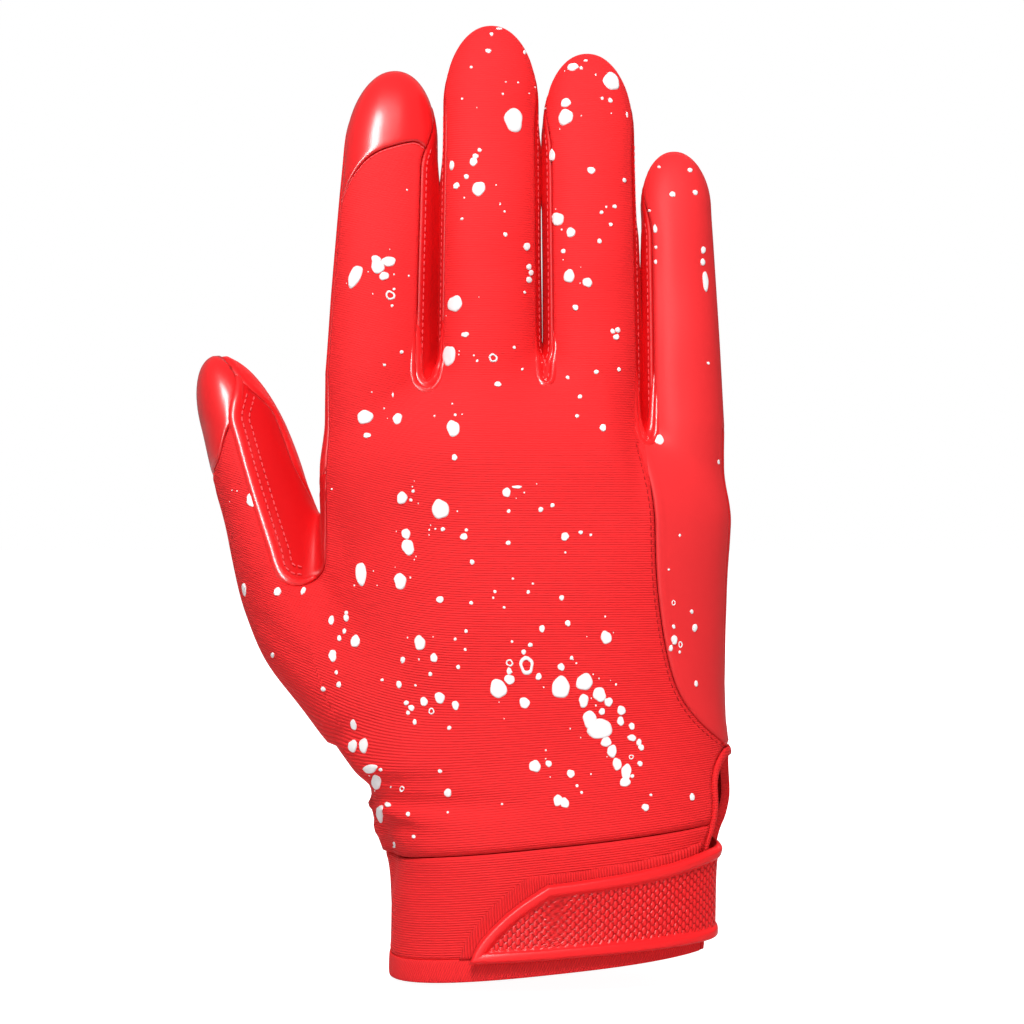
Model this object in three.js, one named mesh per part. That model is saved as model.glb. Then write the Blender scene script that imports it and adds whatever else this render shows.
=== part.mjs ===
// A right-hand receiver glove, standing with its fingers up and its back towards -Y.
// Millimetres, +X towards the little finger, +Z towards the fingertips.
// The origin is the middle of the wrist opening, at the lowest level of the cuff.
import * as THREE from 'three';

// Cuff
const cuffWidth = 79;
const cuffDepth = 52;
const cuffHeight = 29;
const cuffTilt = 8.5; // the little-finger side of the cuff sits this much higher
const cuffWall = 1.8;
const hemHeight = 4.8;
const hemBulge = 0.7;

// Hand
const palmLength = 110; // cuff seam to finger webs
const handDepth = 34;
const knuckleShift = -7; // middle of the knuckles from the middle of the cuff
const handArch = 3.5; // the edges of the hand lie this much further to the palm
const palmHollow = 2.4;
const littleWebDrop = 12.5; // the ring and little finger part lower down
const fingerGap = 0.9;

// Walls of the cloths
const knitWall = 1.4;
const coatedWall = 1.2;
const sideWall = 1.1;
const seamGap = 0.3;

// Strap tab and the loop patch under it
const tabThickness = 1.1;
const tabRimHeight = 0.8; // the rim stands this much above the field
const tabRimWidth = 2.6;
const tabLift = 1.3; // inner face above the cuff
const tabEndAngle = 112; // the strap runs on under the palm's edge to here
const patchThickness = 0.65;
const patchMargin = 2.4; // how far the loop patch shows round the tab
const bindingWidth = 3;
const bindingBulge = 0.9;
const slitTop = 54.2; // level where the slit at the wrist closes
const slitArch = 10; // height of its rounded end
const slitBack = 57; // angles round the hand of the slit's two sides
const slitPalm = 102;

// Shape of every section: 2 is an ellipse, more is squarer
const handSquareness = 2.5;
const fingerSquareness = 2.25;

// How far two forms melt into each other where they meet
const webBlend = 5;
const crotchBlend = 4.5;
const rootBlend = 16; // lower down, where the thumb's root lies in the hand

const cuffSeamLevel = cuffHeight + cuffTilt / 2;
const webLevel = cuffSeamLevel + palmLength;
const degree = Math.PI / 180;
const fullTurn = 360;

// The fingers, from the thumb side. Lengths run from the web to the tip. Angles go round a finger
// from the middle of its back, and are negative on the thumb side. back* is the edge of the back
// cloth and palm* the edge of the palm cloth; between the two lies a side strip.
const indexFinger = {
  name: 'index', width: 26.4, depth: 22.8, length: 74.5, taper: 0.86, thinning: 0.82, tipRound: 21,
  curl: 9, lean: 3.2, sink: 1.0, backRadial: -70, backUlnar: 42, palmUlnar: 115, palmRadial: -70,
  webRadial: 0, webUlnar: 0,
};
const middleFinger = {
  name: 'middle', width: 24.5, depth: 23.2, length: 85.4, taper: 0.94, thinning: 0.82, tipRound: 20.5,
  curl: 10, lean: 0.3, sink: 0, backRadial: -68, backUlnar: 68, palmUlnar: 115, palmRadial: -115,
  webRadial: 0, webUlnar: 0,
};
const ringFinger = {
  name: 'ring', width: 22.8, depth: 22.4, length: 79, taper: 0.97, thinning: 0.82, tipRound: 20,
  curl: 11, lean: -0.9, sink: 0.8, backRadial: -56, backUlnar: 68, palmUlnar: 115, palmRadial: -115,
  webRadial: 0, webUlnar: 1,
};
const littleFinger = {
  name: 'little', width: 19.6, depth: 19.4, length: 67.5, taper: 0.87, thinning: 0.84, tipRound: 14.5,
  curl: 9, lean: -1.7, sink: 3.0, backRadial: -50, backUlnar: 80, palmUlnar: 80, palmRadial: -115,
  webRadial: 1, webUlnar: 1,
};
const fingers = [indexFinger, middleFinger, ringFinger, littleFinger];

const knuckleWidth = fingers.reduce((sum, f) => sum + f.width, 0) + 3 * fingerGap;

// The hand's sections. level is a share of palmLength above the cuff seam, radial and ulnar move
// the two edges outwards in shares of the knuckle width, back and palm deepen the section in
// shares of handDepth.
const handSections = [
  { level: -0.35, radial: 0.000, ulnar: -0.010, back: 0.015, palm: 0.015 },
  { level: -0.16, radial: -0.006, ulnar: -0.006, back: 0.000, palm: 0.000 },
  { level: -0.05, radial: -0.006, ulnar: -0.002, back: 0.000, palm: 0.000 },
  { level: 0.00, radial: 0.006, ulnar: 0.010, back: -0.008, palm: 0.002 },
  { level: 0.03, radial: 0.024, ulnar: 0.024, back: -0.024, palm: 0.006 },
  { level: 0.08, radial: 0.050, ulnar: 0.034, back: -0.045, palm: 0.010 },
  { level: 0.16, radial: 0.080, ulnar: 0.026, back: -0.060, palm: 0.026 },
  { level: 0.25, radial: 0.082, ulnar: 0.014, back: -0.060, palm: 0.060 },
  { level: 0.34, radial: 0.083, ulnar: 0.011, back: -0.060, palm: 0.075 },
  { level: 0.52, radial: 0.091, ulnar: 0.014, back: -0.053, palm: 0.050 },
  { level: 0.70, radial: 0.064, ulnar: 0.018, back: -0.050, palm: 0.018 },
  { level: 0.86, radial: 0.026, ulnar: 0.005, back: -0.030, palm: 0.012 },
  { level: 1.00, radial: 0.000, ulnar: 0.000, back: -0.035, palm: -0.015 },
];
const handTopRound = 27; // the hand rounds off towards the webs over this height
const handTopAbove = 3; // and ends this far above the web level

// The thumb. Its own length runs from its root inside the wrist to its tip.
const thumbLength = 104;
const thumbWidth = 23;
const thumbThickness = 21;
const thumbReach = 47; // tip from root, away from the hand
const thumbForward = 17; // tip from root, towards the palm
const thumbTipRound = 18;
const thumbTurn = -65; // which way the thumb's back faces, from -Y
const thumbTop = 149;
const thumbRoot = { x: -36, y: 3 };
// level, out and forward are shares of thumbLength, thumbReach and thumbForward; width and
// thickness are shares of thumbWidth and thumbThickness
const thumbSections = [
  { level: 0.00, out: 0.00, forward: 0.00, width: 0.92, thickness: 1.05 },
  { level: 0.14, out: 0.20, forward: 0.17, width: 1.30, thickness: 1.34 },
  { level: 0.26, out: 0.368, forward: 0.29, width: 1.47, thickness: 1.47 },
  { level: 0.385, out: 0.505, forward: 0.41, width: 1.43, thickness: 1.43 },
  { level: 0.51, out: 0.62, forward: 0.53, width: 1.24, thickness: 1.25 },
  { level: 0.625, out: 0.715, forward: 0.65, width: 1.07, thickness: 1.09 },
  { level: 0.74, out: 0.80, forward: 0.76, width: 1.02, thickness: 1.03 },
  { level: 0.83, out: 0.865, forward: 0.88, width: 0.97, thickness: 0.97 },
  { level: 1.00, out: 1.00, forward: 1.00, width: 0.88, thickness: 0.88 },
];
const thumb = {
  name: 'thumb', backRadial: -85, backUlnar: 57, palmUlnar: 127, palmRadial: -85,
  webRadial: 0, webUlnar: 0,
};
const crotchLevel = 99; // thumb and hand part here on the back
const crotchDrop = 6.5;
const thumbInnerAngle = 140; // on this side of the thumb they part higher up
const thumbInnerRise = 10;
const thumbInnerSeam = 152; // angle of the palm cloth's inner edge at the thumb's root
const palmCrotchRise = 7; // and so they do on the palm
const palmCrotchDrop = 1;
const palmGussetAngle = -118; // the gusset's edge on the palm side of the hand

// Creases at the thumb side of the wrist, from the top one. level and width are shares of
// cuffHeight, measured from the cuff seam; reach is a share of cuffWidth towards the middle.
const wristFolds = [
  { level: 0.47, depth: 2.6, width: 0.085, reach: 0.34 },
  { level: 0.235, depth: 1.1, width: 0.05, reach: 0.16 },
  { level: 0.06, depth: 1.0, width: 0.045, reach: 0.10 },
];

// Seam of the side cloth on the back of the hand. level is a share of the way from the top of the
// slit to the little finger's web, angle is measured round the hand from the middle of its back.
const sideSeam = [
  { level: 0.00, angle: 77 },
  { level: 0.05, angle: 62 },
  { level: 0.11, angle: 51 },
  { level: 0.19, angle: 43.5 },
  { level: 0.30, angle: 39 },
  { level: 0.45, angle: 36 },
  { level: 0.62, angle: 34 },
  { level: 0.82, angle: 33 },
  { level: 1.00, angle: 32 },
];
// Lower edge of a coated tip: across is a share of the strip's width, level a share of the finger
const indexTipSeam = [
  { across: 0.0, level: 0.60 }, { across: 0.25, level: 0.70 }, { across: 0.5, level: 0.77 },
  { across: 0.8, level: 0.81 }, { across: 1.0, level: 0.79 },
];
const thumbTipSeam = [
  { across: 0.0, level: 0.42 }, { across: 0.4, level: 0.44 }, { across: 0.7, level: 0.53 },
  { across: 0.9, level: 0.68 }, { across: 1.0, level: 0.74 },
];

// Outline of the tab. angle is its slanting end, bottom and top are heights above the lower edge
// of the cuff in shares of cuffHeight.
const tabEnd = [
  { across: 0.00, angle: -24.5 }, { across: 0.25, angle: -21.8 }, { across: 0.50, angle: -16.8 },
  { across: 0.75, angle: -10.0 }, { across: 1.00, angle: -1.5 },
];
const tabEdges = [
  { angle: -25, bottom: 0.150, top: 0.700 },
  { angle: 15, bottom: 0.115, top: 0.735 },
  { angle: 35, bottom: 0.100, top: 0.765 },
  { angle: 65, bottom: 0.092, top: 0.830 },
  { angle: 112, bottom: 0.180, top: 0.780 },
];

// Smooth curve through a table's rows: a cubic through the values with the chords' mean slope.
function curveThrough(rows, key, value) {
  const knots = rows.map((row) => row[key]);
  const values = rows.map((row) => row[value]);
  const last = rows.length - 1;
  const slope = (i) => {
    const a = Math.max(0, i - 1);
    const b = Math.min(last, i + 1);
    return (values[b] - values[a]) / (knots[b] - knots[a]);
  };
  return (t) => {
    if (t <= knots[0]) return values[0];
    if (t >= knots[last]) return values[last];
    const i = knots.findIndex((knot) => knot > t) - 1;
    const span = knots[i + 1] - knots[i];
    const s = (t - knots[i]) / span;
    const h = s * s * (3 - 2 * s);
    return values[i] * (1 - h) + values[i + 1] * h
      + span * s * (1 - s) * (slope(i) * (1 - s) - slope(i + 1) * s);
  };
}

const mix = (a, b, t) => a + (b - a) * t;
const clamp01 = (t) => Math.min(1, Math.max(0, t));
const ease = (t) => clamp01(t) ** 2 * (3 - 2 * clamp01(t));
const mixPoint = (p, q, t) => p.map((c, i) => mix(c, q[i], t));
const signedPower = (v, power) => Math.sign(v) * Math.abs(v) ** power;
const cuffBottomAt = (x) => cuffTilt * (0.5 + x / cuffWidth);
const cuffSeamAt = (x) => cuffBottomAt(x) + cuffHeight;

// Two distances joined with a rounded valley of size k.
function melt(a, b, k) {
  const h = Math.max(k - Math.abs(a - b), 0) / k;
  return Math.min(a, b) - (h * h * k) / 4;
}

// The hand as a stack of level sections.
const handCurve = Object.fromEntries(['radial', 'ulnar', 'back', 'palm'].map(
  (value) => [value, curveThrough(handSections, 'level', value)]));
const knuckleRadial = knuckleShift - knuckleWidth / 2;
const knuckleUlnar = knuckleShift + knuckleWidth / 2;

function handSection(z) {
  const level = (z - cuffSeamLevel) / palmLength;
  const share = clamp01(level);
  const radial = mix(-cuffWidth / 2, knuckleRadial, share) - handCurve.radial(level) * knuckleWidth;
  const ulnar = mix(cuffWidth / 2, knuckleUlnar, share) + handCurve.ulnar(level) * knuckleWidth;
  const depth = mix(cuffDepth, handDepth, share) / 2;
  return {
    x: (radial + ulnar) / 2,
    half: (ulnar - radial) / 2,
    back: depth + handCurve.back(level) * handDepth,
    palm: depth + handCurve.palm(level) * handDepth,
    arch: handArch * ease(level * 2),
  };
}

// Top of the hand between the fingers; it steps down beside the little finger.
const littleWebX = knuckleUlnar - littleFinger.width - fingerGap / 2;
function handTop(x) {
  const drop = ease((x - littleWebX + littleFinger.width / 2) / (littleFinger.width / 2));
  return webLevel + handTopAbove - littleWebDrop * drop;
}

function handField([x, y, z]) {
  const s = handSection(z);
  const across = (x - s.x) / s.half;
  const centre = s.arch * Math.min(across * across, 1.4);
  const deep = (y - centre) / (y < centre ? s.back : s.palm);
  const flat = (Math.abs(across) ** handSquareness + Math.abs(deep) ** handSquareness)
    ** (2 / handSquareness);
  const up = Math.max(0, (z - handTop(x) + handTopRound) / handTopRound);
  const reach = Math.hypot(x - s.x, y - centre, up * handTopRound);
  return reach - reach / Math.sqrt(flat + up * up + 1e-9);
}

// Fingers: level sections that narrow towards a rounded tip.
let edge = knuckleRadial;
for (const f of fingers) {
  f.turn = 0;
  f.baseX = edge + f.width / 2;
  edge += f.width + fingerGap;
  f.base = webLevel - littleWebDrop * f.webRadial;
  f.top = f.base + f.length;
  f.tipStart = f.top - f.tipRound;
  f.rootDepth = 42; // the finger's form fades out this far inside the hand
  f.section = (z) => {
    const t = (z - f.base) / f.length;
    const up = clamp01(t);
    return {
      x: f.baseX + f.lean * up,
      y: f.sink + f.curl * up * up,
      half: (f.width / 2) * mix(1, f.taper, clamp01(up / 0.75)),
      deep: (f.depth / 2) * mix(1, f.thinning, clamp01(up / 0.75)) * (1 - 0.12 * clamp01(-t * 2)),
    };
  };
}

const thumbCurve = Object.fromEntries(['out', 'forward', 'width', 'thickness'].map(
  (value) => [value, curveThrough(thumbSections, 'level', value)]));
thumb.turn = thumbTurn * degree;
thumb.top = thumbTop;
thumb.base = crotchLevel;
thumb.length = thumbTop - crotchLevel;
thumb.tipRound = thumbTipRound;
thumb.tipStart = thumbTop - thumbTipRound;
thumb.rootDepth = crotchLevel - (thumbTop - thumbLength) + 6;
thumb.section = (z) => {
  const level = (z - thumbTop) / thumbLength + 1;
  return {
    x: thumbRoot.x - thumbReach * thumbCurve.out(level),
    y: thumbRoot.y + thumbForward * thumbCurve.forward(level),
    half: (thumbWidth / 2) * thumbCurve.width(level),
    deep: (thumbThickness / 2) * thumbCurve.thickness(level),
  };
};

function limbField(limb, [x, y, z]) {
  const s = limb.section(z);
  const cos = Math.cos(limb.turn);
  const sin = Math.sin(limb.turn);
  const across = ((x - s.x) * cos + (y - s.y) * sin) / s.half;
  const deep = ((y - s.y) * cos - (x - s.x) * sin) / s.deep;
  const flat = (Math.abs(across) ** fingerSquareness + Math.abs(deep) ** fingerSquareness)
    ** (2 / fingerSquareness);
  const up = Math.max(0, (z - limb.tipStart) / limb.tipRound);
  const down = Math.max(0, (limb.base - 12 - z) / limb.rootDepth);
  const reach = Math.hypot(x - s.x, y - s.y, up * limb.tipRound, down * limb.rootDepth);
  return reach - reach / Math.sqrt(flat + up * up + down * down + 1e-9);
}

// Creases and the hollow of the palm, as depths below the smooth form.
function reliefField([x, y, z]) {
  const s = handSection(z);
  let depth = 0;
  for (const fold of wristFolds) {
    const level = cuffSeamAt(-cuffWidth / 2) + fold.level * cuffHeight;
    const near = (z - level) / (fold.width * cuffHeight);
    const inwards = (x - (s.x - s.half)) / (fold.reach * cuffWidth);
    depth += fold.depth * Math.exp(-near * near) * Math.exp(-(Math.max(0, inwards) ** 2));
  }
  if (y > 0) {
    const across = (x - knuckleShift - 4) / (knuckleWidth * 0.2);
    const along = (z - mix(cuffSeamLevel, webLevel, 0.52)) / (palmLength * 0.24);
    depth += palmHollow * Math.exp(-across * across - along * along) * ease(y / 8);
  }
  return depth;
}

// The outer face of the glove is where this is zero; it is negative inside.
function form(p) {
  const blend = mix(rootBlend, crotchBlend, ease((p[2] - crotchLevel + 32) / 32));
  const body = melt(handField(p), limbField(thumb, p), blend);
  let all = Infinity;
  for (const f of fingers) all = Math.min(all, melt(body, limbField(f, p), webBlend));
  return all + reliefField(p);
}

function slopeAt(p) {
  const step = 0.02;
  return [0, 1, 2].map((i) => {
    const a = [...p];
    const b = [...p];
    a[i] += step;
    b[i] -= step;
    return (form(a) - form(b)) / (2 * step);
  });
}

// Moves a point that is near the outer face onto it.
function settle(p) {
  let q = p;
  for (let n = 0; n < 6; n += 1) {
    const g = slopeAt(q);
    const size = g[0] * g[0] + g[1] * g[1] + g[2] * g[2];
    const pull = form(q) / size;
    q = q.map((c, i) => c - pull * g[i]);
  }
  return q;
}

// The first point of the outer face on the line from a point inside through another.
function castFrom(inside, through) {
  const d = through.map((c, i) => c - inside[i]);
  const size = Math.hypot(...d);
  const at = (r) => inside.map((c, i) => c + (d[i] / size) * r);
  let far = 1;
  while (form(at(far)) < 0 && far < 90) far += 1;
  let near = far - 1;
  for (let n = 0; n < 24; n += 1) {
    const middle = (near + far) / 2;
    if (form(at(middle)) < 0) near = middle;
    else far = middle;
  }
  return at((near + far) / 2);
}

function outwardAt(p) {
  const g = slopeAt(p);
  const size = Math.hypot(...g);
  return g.map((c) => c / size);
}

// A point of the hand's own section at an angle from the middle of its back.
function handPoint(angle, z) {
  const s = handSection(z);
  const across = signedPower(Math.sin(angle * degree), 2 / handSquareness);
  const deep = signedPower(Math.cos(angle * degree), 2 / handSquareness);
  const x = s.x + s.half * across;
  const centre = s.arch * Math.min(across * across, 1.4);
  return [x, centre - deep * (deep > 0 ? s.back : s.palm), z];
}

function handFace(angle, z) {
  const through = handPoint(angle, z);
  const s = handSection(z);
  const inside = [mix(s.x, through[0], 0.78), s.arch * 0.6, z];
  return castFrom(inside, through);
}

// A point of a finger at an angle, level with z.
function limbPoint(limb, angle, z) {
  const s = limb.section(z);
  const up = Math.max(0, (z - limb.tipStart) / limb.tipRound);
  const ring = Math.sqrt(Math.max(0, 1 - up * up));
  const across = s.half * ring * signedPower(Math.sin(angle * degree), 2 / fingerSquareness);
  const deep = -s.deep * ring * signedPower(Math.cos(angle * degree), 2 / fingerSquareness);
  return limbToFrame(limb, across, deep, z);
}

function limbToFrame(limb, across, deep, z) {
  const s = limb.section(z);
  const cos = Math.cos(limb.turn);
  const sin = Math.sin(limb.turn);
  return [s.x + across * cos - deep * sin, s.y + across * sin + deep * cos, z];
}

// How the seams of a limb run. They come together at the sides where the tip's cloths meet.
const tipTurn = 45 * degree; // the side strips end this far round the tip
const sideEnd = (limb) => limb.tipStart + limb.tipRound * Math.sin(tipTurn);
const sideOf = { backRadial: -90, backUlnar: 90, palmUlnar: 90, palmRadial: 270 };
function seamAngle(limb, seam, share) {
  let start = seam === 'palmRadial' ? limb.palmRadial + fullTurn : limb[seam];
  if (limb === thumb && seam === 'palmUlnar') start = mix(thumbInnerSeam, start, ease(share / 0.4));
  return mix(start, sideOf[seam], ease((share - 0.72) / 0.28));
}

// Rows of a strip. They bunch up so that one of them lies on the seam of a coated tip.
const stripRowCount = 9;
const tipSeamRow = 6;
const evenLimit = tipSeamRow / stripRowCount;
function rowShare(j, limit) {
  if (j <= tipSeamRow) return (limit * j) / tipSeamRow;
  return mix(limit, 1, (j - tipSeamRow) / (stripRowCount - tipSeamRow));
}
indexFinger.tipSeam = curveThrough(indexTipSeam, 'across', 'level');
thumb.tipSeam = curveThrough(thumbTipSeam, 'across', 'level');
function seamLimit(limb, seam) {
  if (!limb.tipSeam || seam === 'palmUlnar') return evenLimit;
  return limb.tipSeam(seam === 'backUlnar' ? 1 : 0);
}

// The lower end of a strip follows the two webs beside it.
function stripBase(limb, angle) {
  if (limb === thumb) {
    const inner = Math.cos((angle - thumbInnerAngle) * degree);
    return crotchLevel + thumbInnerRise * ease(inner);
  }
  const side = clamp01(0.5 + 0.5 * Math.sin(angle * degree));
  const step = limb.webUlnar - limb.webRadial;
  return limb.base - littleWebDrop * step * ease((side - 0.25) / 0.7);
}

function stripPoint(limb, angle, share) {
  const z = mix(stripBase(limb, angle), sideEnd(limb), share);
  return settle(limbPoint(limb, angle, z));
}

const corner = (limb, seam) => stripPoint(limb, seamAngle(limb, seam, 0), 0);

// Rows of points between two seams of a limb, from its lower end to the start of its tip.
function strip(limb, columns, from, to) {
  const grid = [];
  const seamed = from === 'backRadial' && limb.tipSeam;
  const turn = from === 'backRadial' && to === 'palmRadial' ? fullTurn : 0;
  for (let j = 0; j <= stripRowCount; j += 1) {
    const row = [];
    for (let k = 0; k <= columns; k += 1) {
      const t = k / columns;
      const limit = seamed ? limb.tipSeam(t) : mix(seamLimit(limb, from), seamLimit(limb, to), t);
      const share = rowShare(j, limit);
      const start = seamAngle(limb, from, share);
      const end = seamAngle(limb, to, share) - turn;
      row.push(stripPoint(limb, mix(start, end, t), share));
    }
    grid.push(row);
  }
  return grid;
}

// The rounded end of a strip: rows of points from the section where the side strips end up to
// the line round the fingertip where the back and palm cloths meet. side is 1 for the back.
function tipRows(limb, columns, rows, side) {
  const start = sideEnd(limb);
  const s = limb.section(start);
  const grid = [];
  for (let j = 1; j <= rows; j += 1) {
    const row = [];
    for (let k = 0; k <= columns; k += 1) {
      const round = mix(Math.PI - tipTurn, tipTurn, k / columns);
      const angle = mix(-90, 90, k / columns) * degree;
      const reach = s.half * Math.cos(tipTurn);
      const low = [reach * signedPower(Math.sin(angle), 2 / fingerSquareness), start];
      const high = [s.half * Math.cos(round), limb.tipStart + limb.tipRound * Math.sin(round)];
      const [across, z] = mixPoint(low, high, j / rows);
      const here = limb.section(z);
      const up = Math.max(0, (z - limb.tipStart) / limb.tipRound);
      const ring = Math.max(0, 1 - up * up) ** (fingerSquareness / 2);
      const wide = Math.abs(across / here.half) ** fingerSquareness;
      const deep = here.deep * Math.max(0, ring - wide) ** (1 / fingerSquareness);
      row.push(limbToFrame(limb, across, -side * deep, z));
    }
    grid.push(side > 0 ? row : row.reverse());
  }
  return grid;
}

// The U between two fingers or beside the thumb, from one strip's corner to the next one's.
// direction is -1 on the back and 1 on the palm.
function webArc(start, end, drop, steps, direction, skew = 1) {
  const points = [start];
  for (let j = 1; j < steps; j += 1) {
    const t = (j / steps) ** skew;
    const turn = Math.PI * t;
    const x = mix(start[0], end[0], (1 - Math.cos(turn)) / 2);
    const z = mix(start[2], end[2], t) - drop * Math.sin(turn);
    const y = mix(start[1], end[1], t);
    points.push(castFrom([x, y - direction * 3, z], [x, y - direction * 3 + direction * 10, z]));
  }
  points.push(end);
  return points;
}

const stripColumns = 6;
const palmColumns = 5;
const thumbColumns = 7;
const tipRowCount = 3;
const webSteps = 4;
const webDrop = 3.8;
const handRows = 6;
const littleWebLevel = webLevel - littleWebDrop;

const radialCuffAngle = -104;
const radialSeamAngle = -72;
const slitMeetBack = 77;
const slitMeetPalm = 92;
const ulnarSeamAngle = 80;

// Seam between the back and the side cloth, as angles on the hand.
const sideSeamAngle = curveThrough(sideSeam, 'level', 'angle');
function backEdgeAngle(z) {
  return sideSeamAngle((z - slitTop) / (littleWebLevel - webDrop - slitTop));
}
function palmEdgeAngle(z) {
  return mix(slitMeetPalm, ulnarSeamAngle, ease((z - slitTop) / 30));
}

// Edge of a cloth beside the slit, at the outer side of the slit's binding.
function slitEdgeAngle(meet, end, z) {
  const open = clamp01((slitTop - z) / slitArch);
  return mix(meet, end, Math.sqrt(1 - (1 - open) ** 2));
}
const backOuterAngle = (z) => (
  z < slitTop ? slitEdgeAngle(slitMeetBack, slitBack, z) : backEdgeAngle(z));
const palmOuterAngle = (z) => (
  z < slitTop ? slitEdgeAngle(slitMeetPalm, slitPalm, z) : palmEdgeAngle(z));

// Where the gusset's edge runs up the side of the hand on the palm.
const gussetRow = 3;
function gussetEdgeAngle(row) {
  return mix(palmGussetAngle, radialSeamAngle, ease(row / gussetRow));
}

// Level of a row of the upper hand, between a starting level and the comb.
function handRowLevel(row, start, top) {
  const middle = (crotchLevel + top) / 2;
  return row <= gussetRow
    ? mix(start, middle, row / gussetRow)
    : mix(middle, top, (row - gussetRow) / (handRows - gussetRow));
}

// Upper part of the hand: rows from the level of the thumb's crotch up to a comb. from and to
// give the angles of both edges; columns slide from even spacing to the comb's.
function handRowsTo(comb, from, to, start) {
  const grid = [];
  const columns = comb.length - 1;
  const lengths = [0];
  for (let c = 1; c <= columns; c += 1) {
    lengths.push(lengths[c - 1] + Math.hypot(...comb[c].map((v, i) => v - comb[c - 1][i])));
  }
  for (let j = 0; j < handRows; j += 1) {
    const v = j / handRows;
    grid.push(comb.map((top, c) => {
      const z = handRowLevel(j, start(c / columns), top[2]);
      const share = mix(c / columns, lengths[c] / lengths[columns], ease(v));
      const face = handFace(mix(from(z, j), to(z, j), share), z);
      const pull = c === 0 || c === columns ? 0 : ease((v - 0.35) / 0.65) * 0.85;
      return pull ? settle(mixPoint(face, [top[0], top[1], z], pull)) : face;
    }));
  }
  grid.push(comb);
  return grid;
}

// Lower part of the hand: rows from the cuff seam up to the level of the thumb's crotch, where
// the row is made of the thumb's strip, the crotch and the hand.
const wristLevels = [0, 0.13, 0.2, 0.25, 0.285, 0.4, 0.55, 0.7, 0.85, 1];
const slitRow = 4;
const edgeLevel = (x, row) => (
  row === slitRow ? slitTop : mix(cuffSeamAt(x), crotchLevel, wristLevels[row]));
function wristRowsTo(topRow, thumbCount, bottomAngles, edgeAngle, onPalm) {
  const last = topRow.length - 1;
  const grid = wristLevels.slice(0, -1).map((v, row) => topRow.map((top, c) => {
    const bottom = handFace(bottomAngles[c], cuffSeamLevel);
    const z = c === last ? edgeLevel(bottom[0], row) : mix(cuffSeamAt(bottom[0]), top[2], v);
    if (c === last) return handFace(edgeAngle(z), z);
    const low = handPoint(bottomAngles[c], z);
    const s = handSection(z);
    const inThumb = thumb.section(z);
    const t = thumb.section(top[2]);
    const isThumb = c < thumbCount;
    const shift = isThumb
      ? [inThumb.x - t.x, inThumb.y - t.y]
      : [(s.x - handSection(top[2]).x) * 0.6, 0];
    const high = [top[0] + shift[0], top[1] + shift[1], z];
    const inner = onPalm * ease((c / (thumbCount - 1) - 0.4) / 0.6);
    const highInside = isThumb
      ? mixPoint([inThumb.x, inThumb.y, z], [high[0], high[1] - 9, z], inner)
      : [mix(s.x, high[0], 0.8), 2, z];
    const lowInside = [mix(s.x, low[0], 0.7), 2, z];
    const pull = ease(v);
    return castFrom(mixPoint(lowInside, highInside, pull), mixPoint(low, high, pull));
  }));
  grid.push(topRow);
  return grid;
}

// The upper edge of a cloth of the hand: finger strips and the webs between them.
function combOf(limbs, columns, from, to, direction) {
  const row = [];
  limbs.forEach((f, i) => {
    const ends = strip(f, columns, from, to)[0];
    row.push(...(i ? ends.slice(1) : ends));
    const next = limbs[i + 1];
    if (next) row.push(...webArc(corner(f, to), corner(next, from), webDrop, webSteps, direction).slice(1));
  });
  return row;
}
const lastWeb = () => webArc(
  corner(ringFinger, 'backUlnar'), corner(littleFinger, 'backRadial'), webDrop, webSteps, -1);

const backLimbs = [indexFinger, middleFinger, ringFinger];
const handStart = () => crotchLevel;
const palmStart = (share) => crotchLevel + palmCrotchRise * ease(share);
const fullTip = (limb, columns, side, rows) => (
  [...rows, ...tipRows(limb, columns, tipRowCount, side)]);
const backComb = [
  ...combOf(backLimbs, stripColumns, 'backRadial', 'backUlnar', -1),
  ...lastWeb().slice(1, webSteps / 2 + 1)];

const backUpper = handRowsTo(backComb, () => radialSeamAngle, backEdgeAngle, handStart);
const palmUpper = handRowsTo(
  combOf([...fingers].reverse(), palmColumns, 'palmUlnar', 'palmRadial', 1),
  palmEdgeAngle, (z, row) => fullTurn + gussetEdgeAngle(row), palmStart);
const thumbBack = strip(thumb, thumbColumns, 'backRadial', 'backUlnar');
const thumbPalm = strip(thumb, thumbColumns, 'palmUlnar', 'palmRadial');
const backCrotch = webArc(thumbBack[0][thumbColumns], backUpper[0][0], crotchDrop, webSteps, -1, 0.75);
const palmCrotch = palmArc(palmUpper[0][palmUpper[0].length - 1], thumbPalm[0][0], webSteps);

// The crotch's edge on the palm side.
function palmArc(start, end, steps) {
  const points = [start];
  for (let j = 1; j < steps; j += 1) {
    const p = mixPoint(start, end, j / steps);
    const sag = Math.sin((Math.PI * j) / steps);
    points.push(settle([p[0], p[1] + 3 * sag, p[2] - palmCrotchDrop * sag]));
  }
  points.push(end);
  return points;
}

function backPanelGrids() {
  const topRow = [...thumbBack[0], ...backCrotch.slice(1, webSteps), ...backUpper[0]];
  const angles = topRow.map((_, c) => mix(radialCuffAngle, slitBack, c / (topRow.length - 1)));
  const lower = wristRowsTo(topRow, thumbColumns + 1, angles, backOuterAngle, 0);
  const index = strip(indexFinger, stripColumns, 'backRadial', 'backUlnar').slice(0, tipSeamRow + 1);
  const others = [middleFinger, ringFinger].map(
    (f) => fullTip(f, stripColumns, 1, strip(f, stripColumns, 'backRadial', 'backUlnar')));
  return [backUpper, lower, thumbBack.slice(0, tipSeamRow + 1), index, ...others];
}

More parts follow.
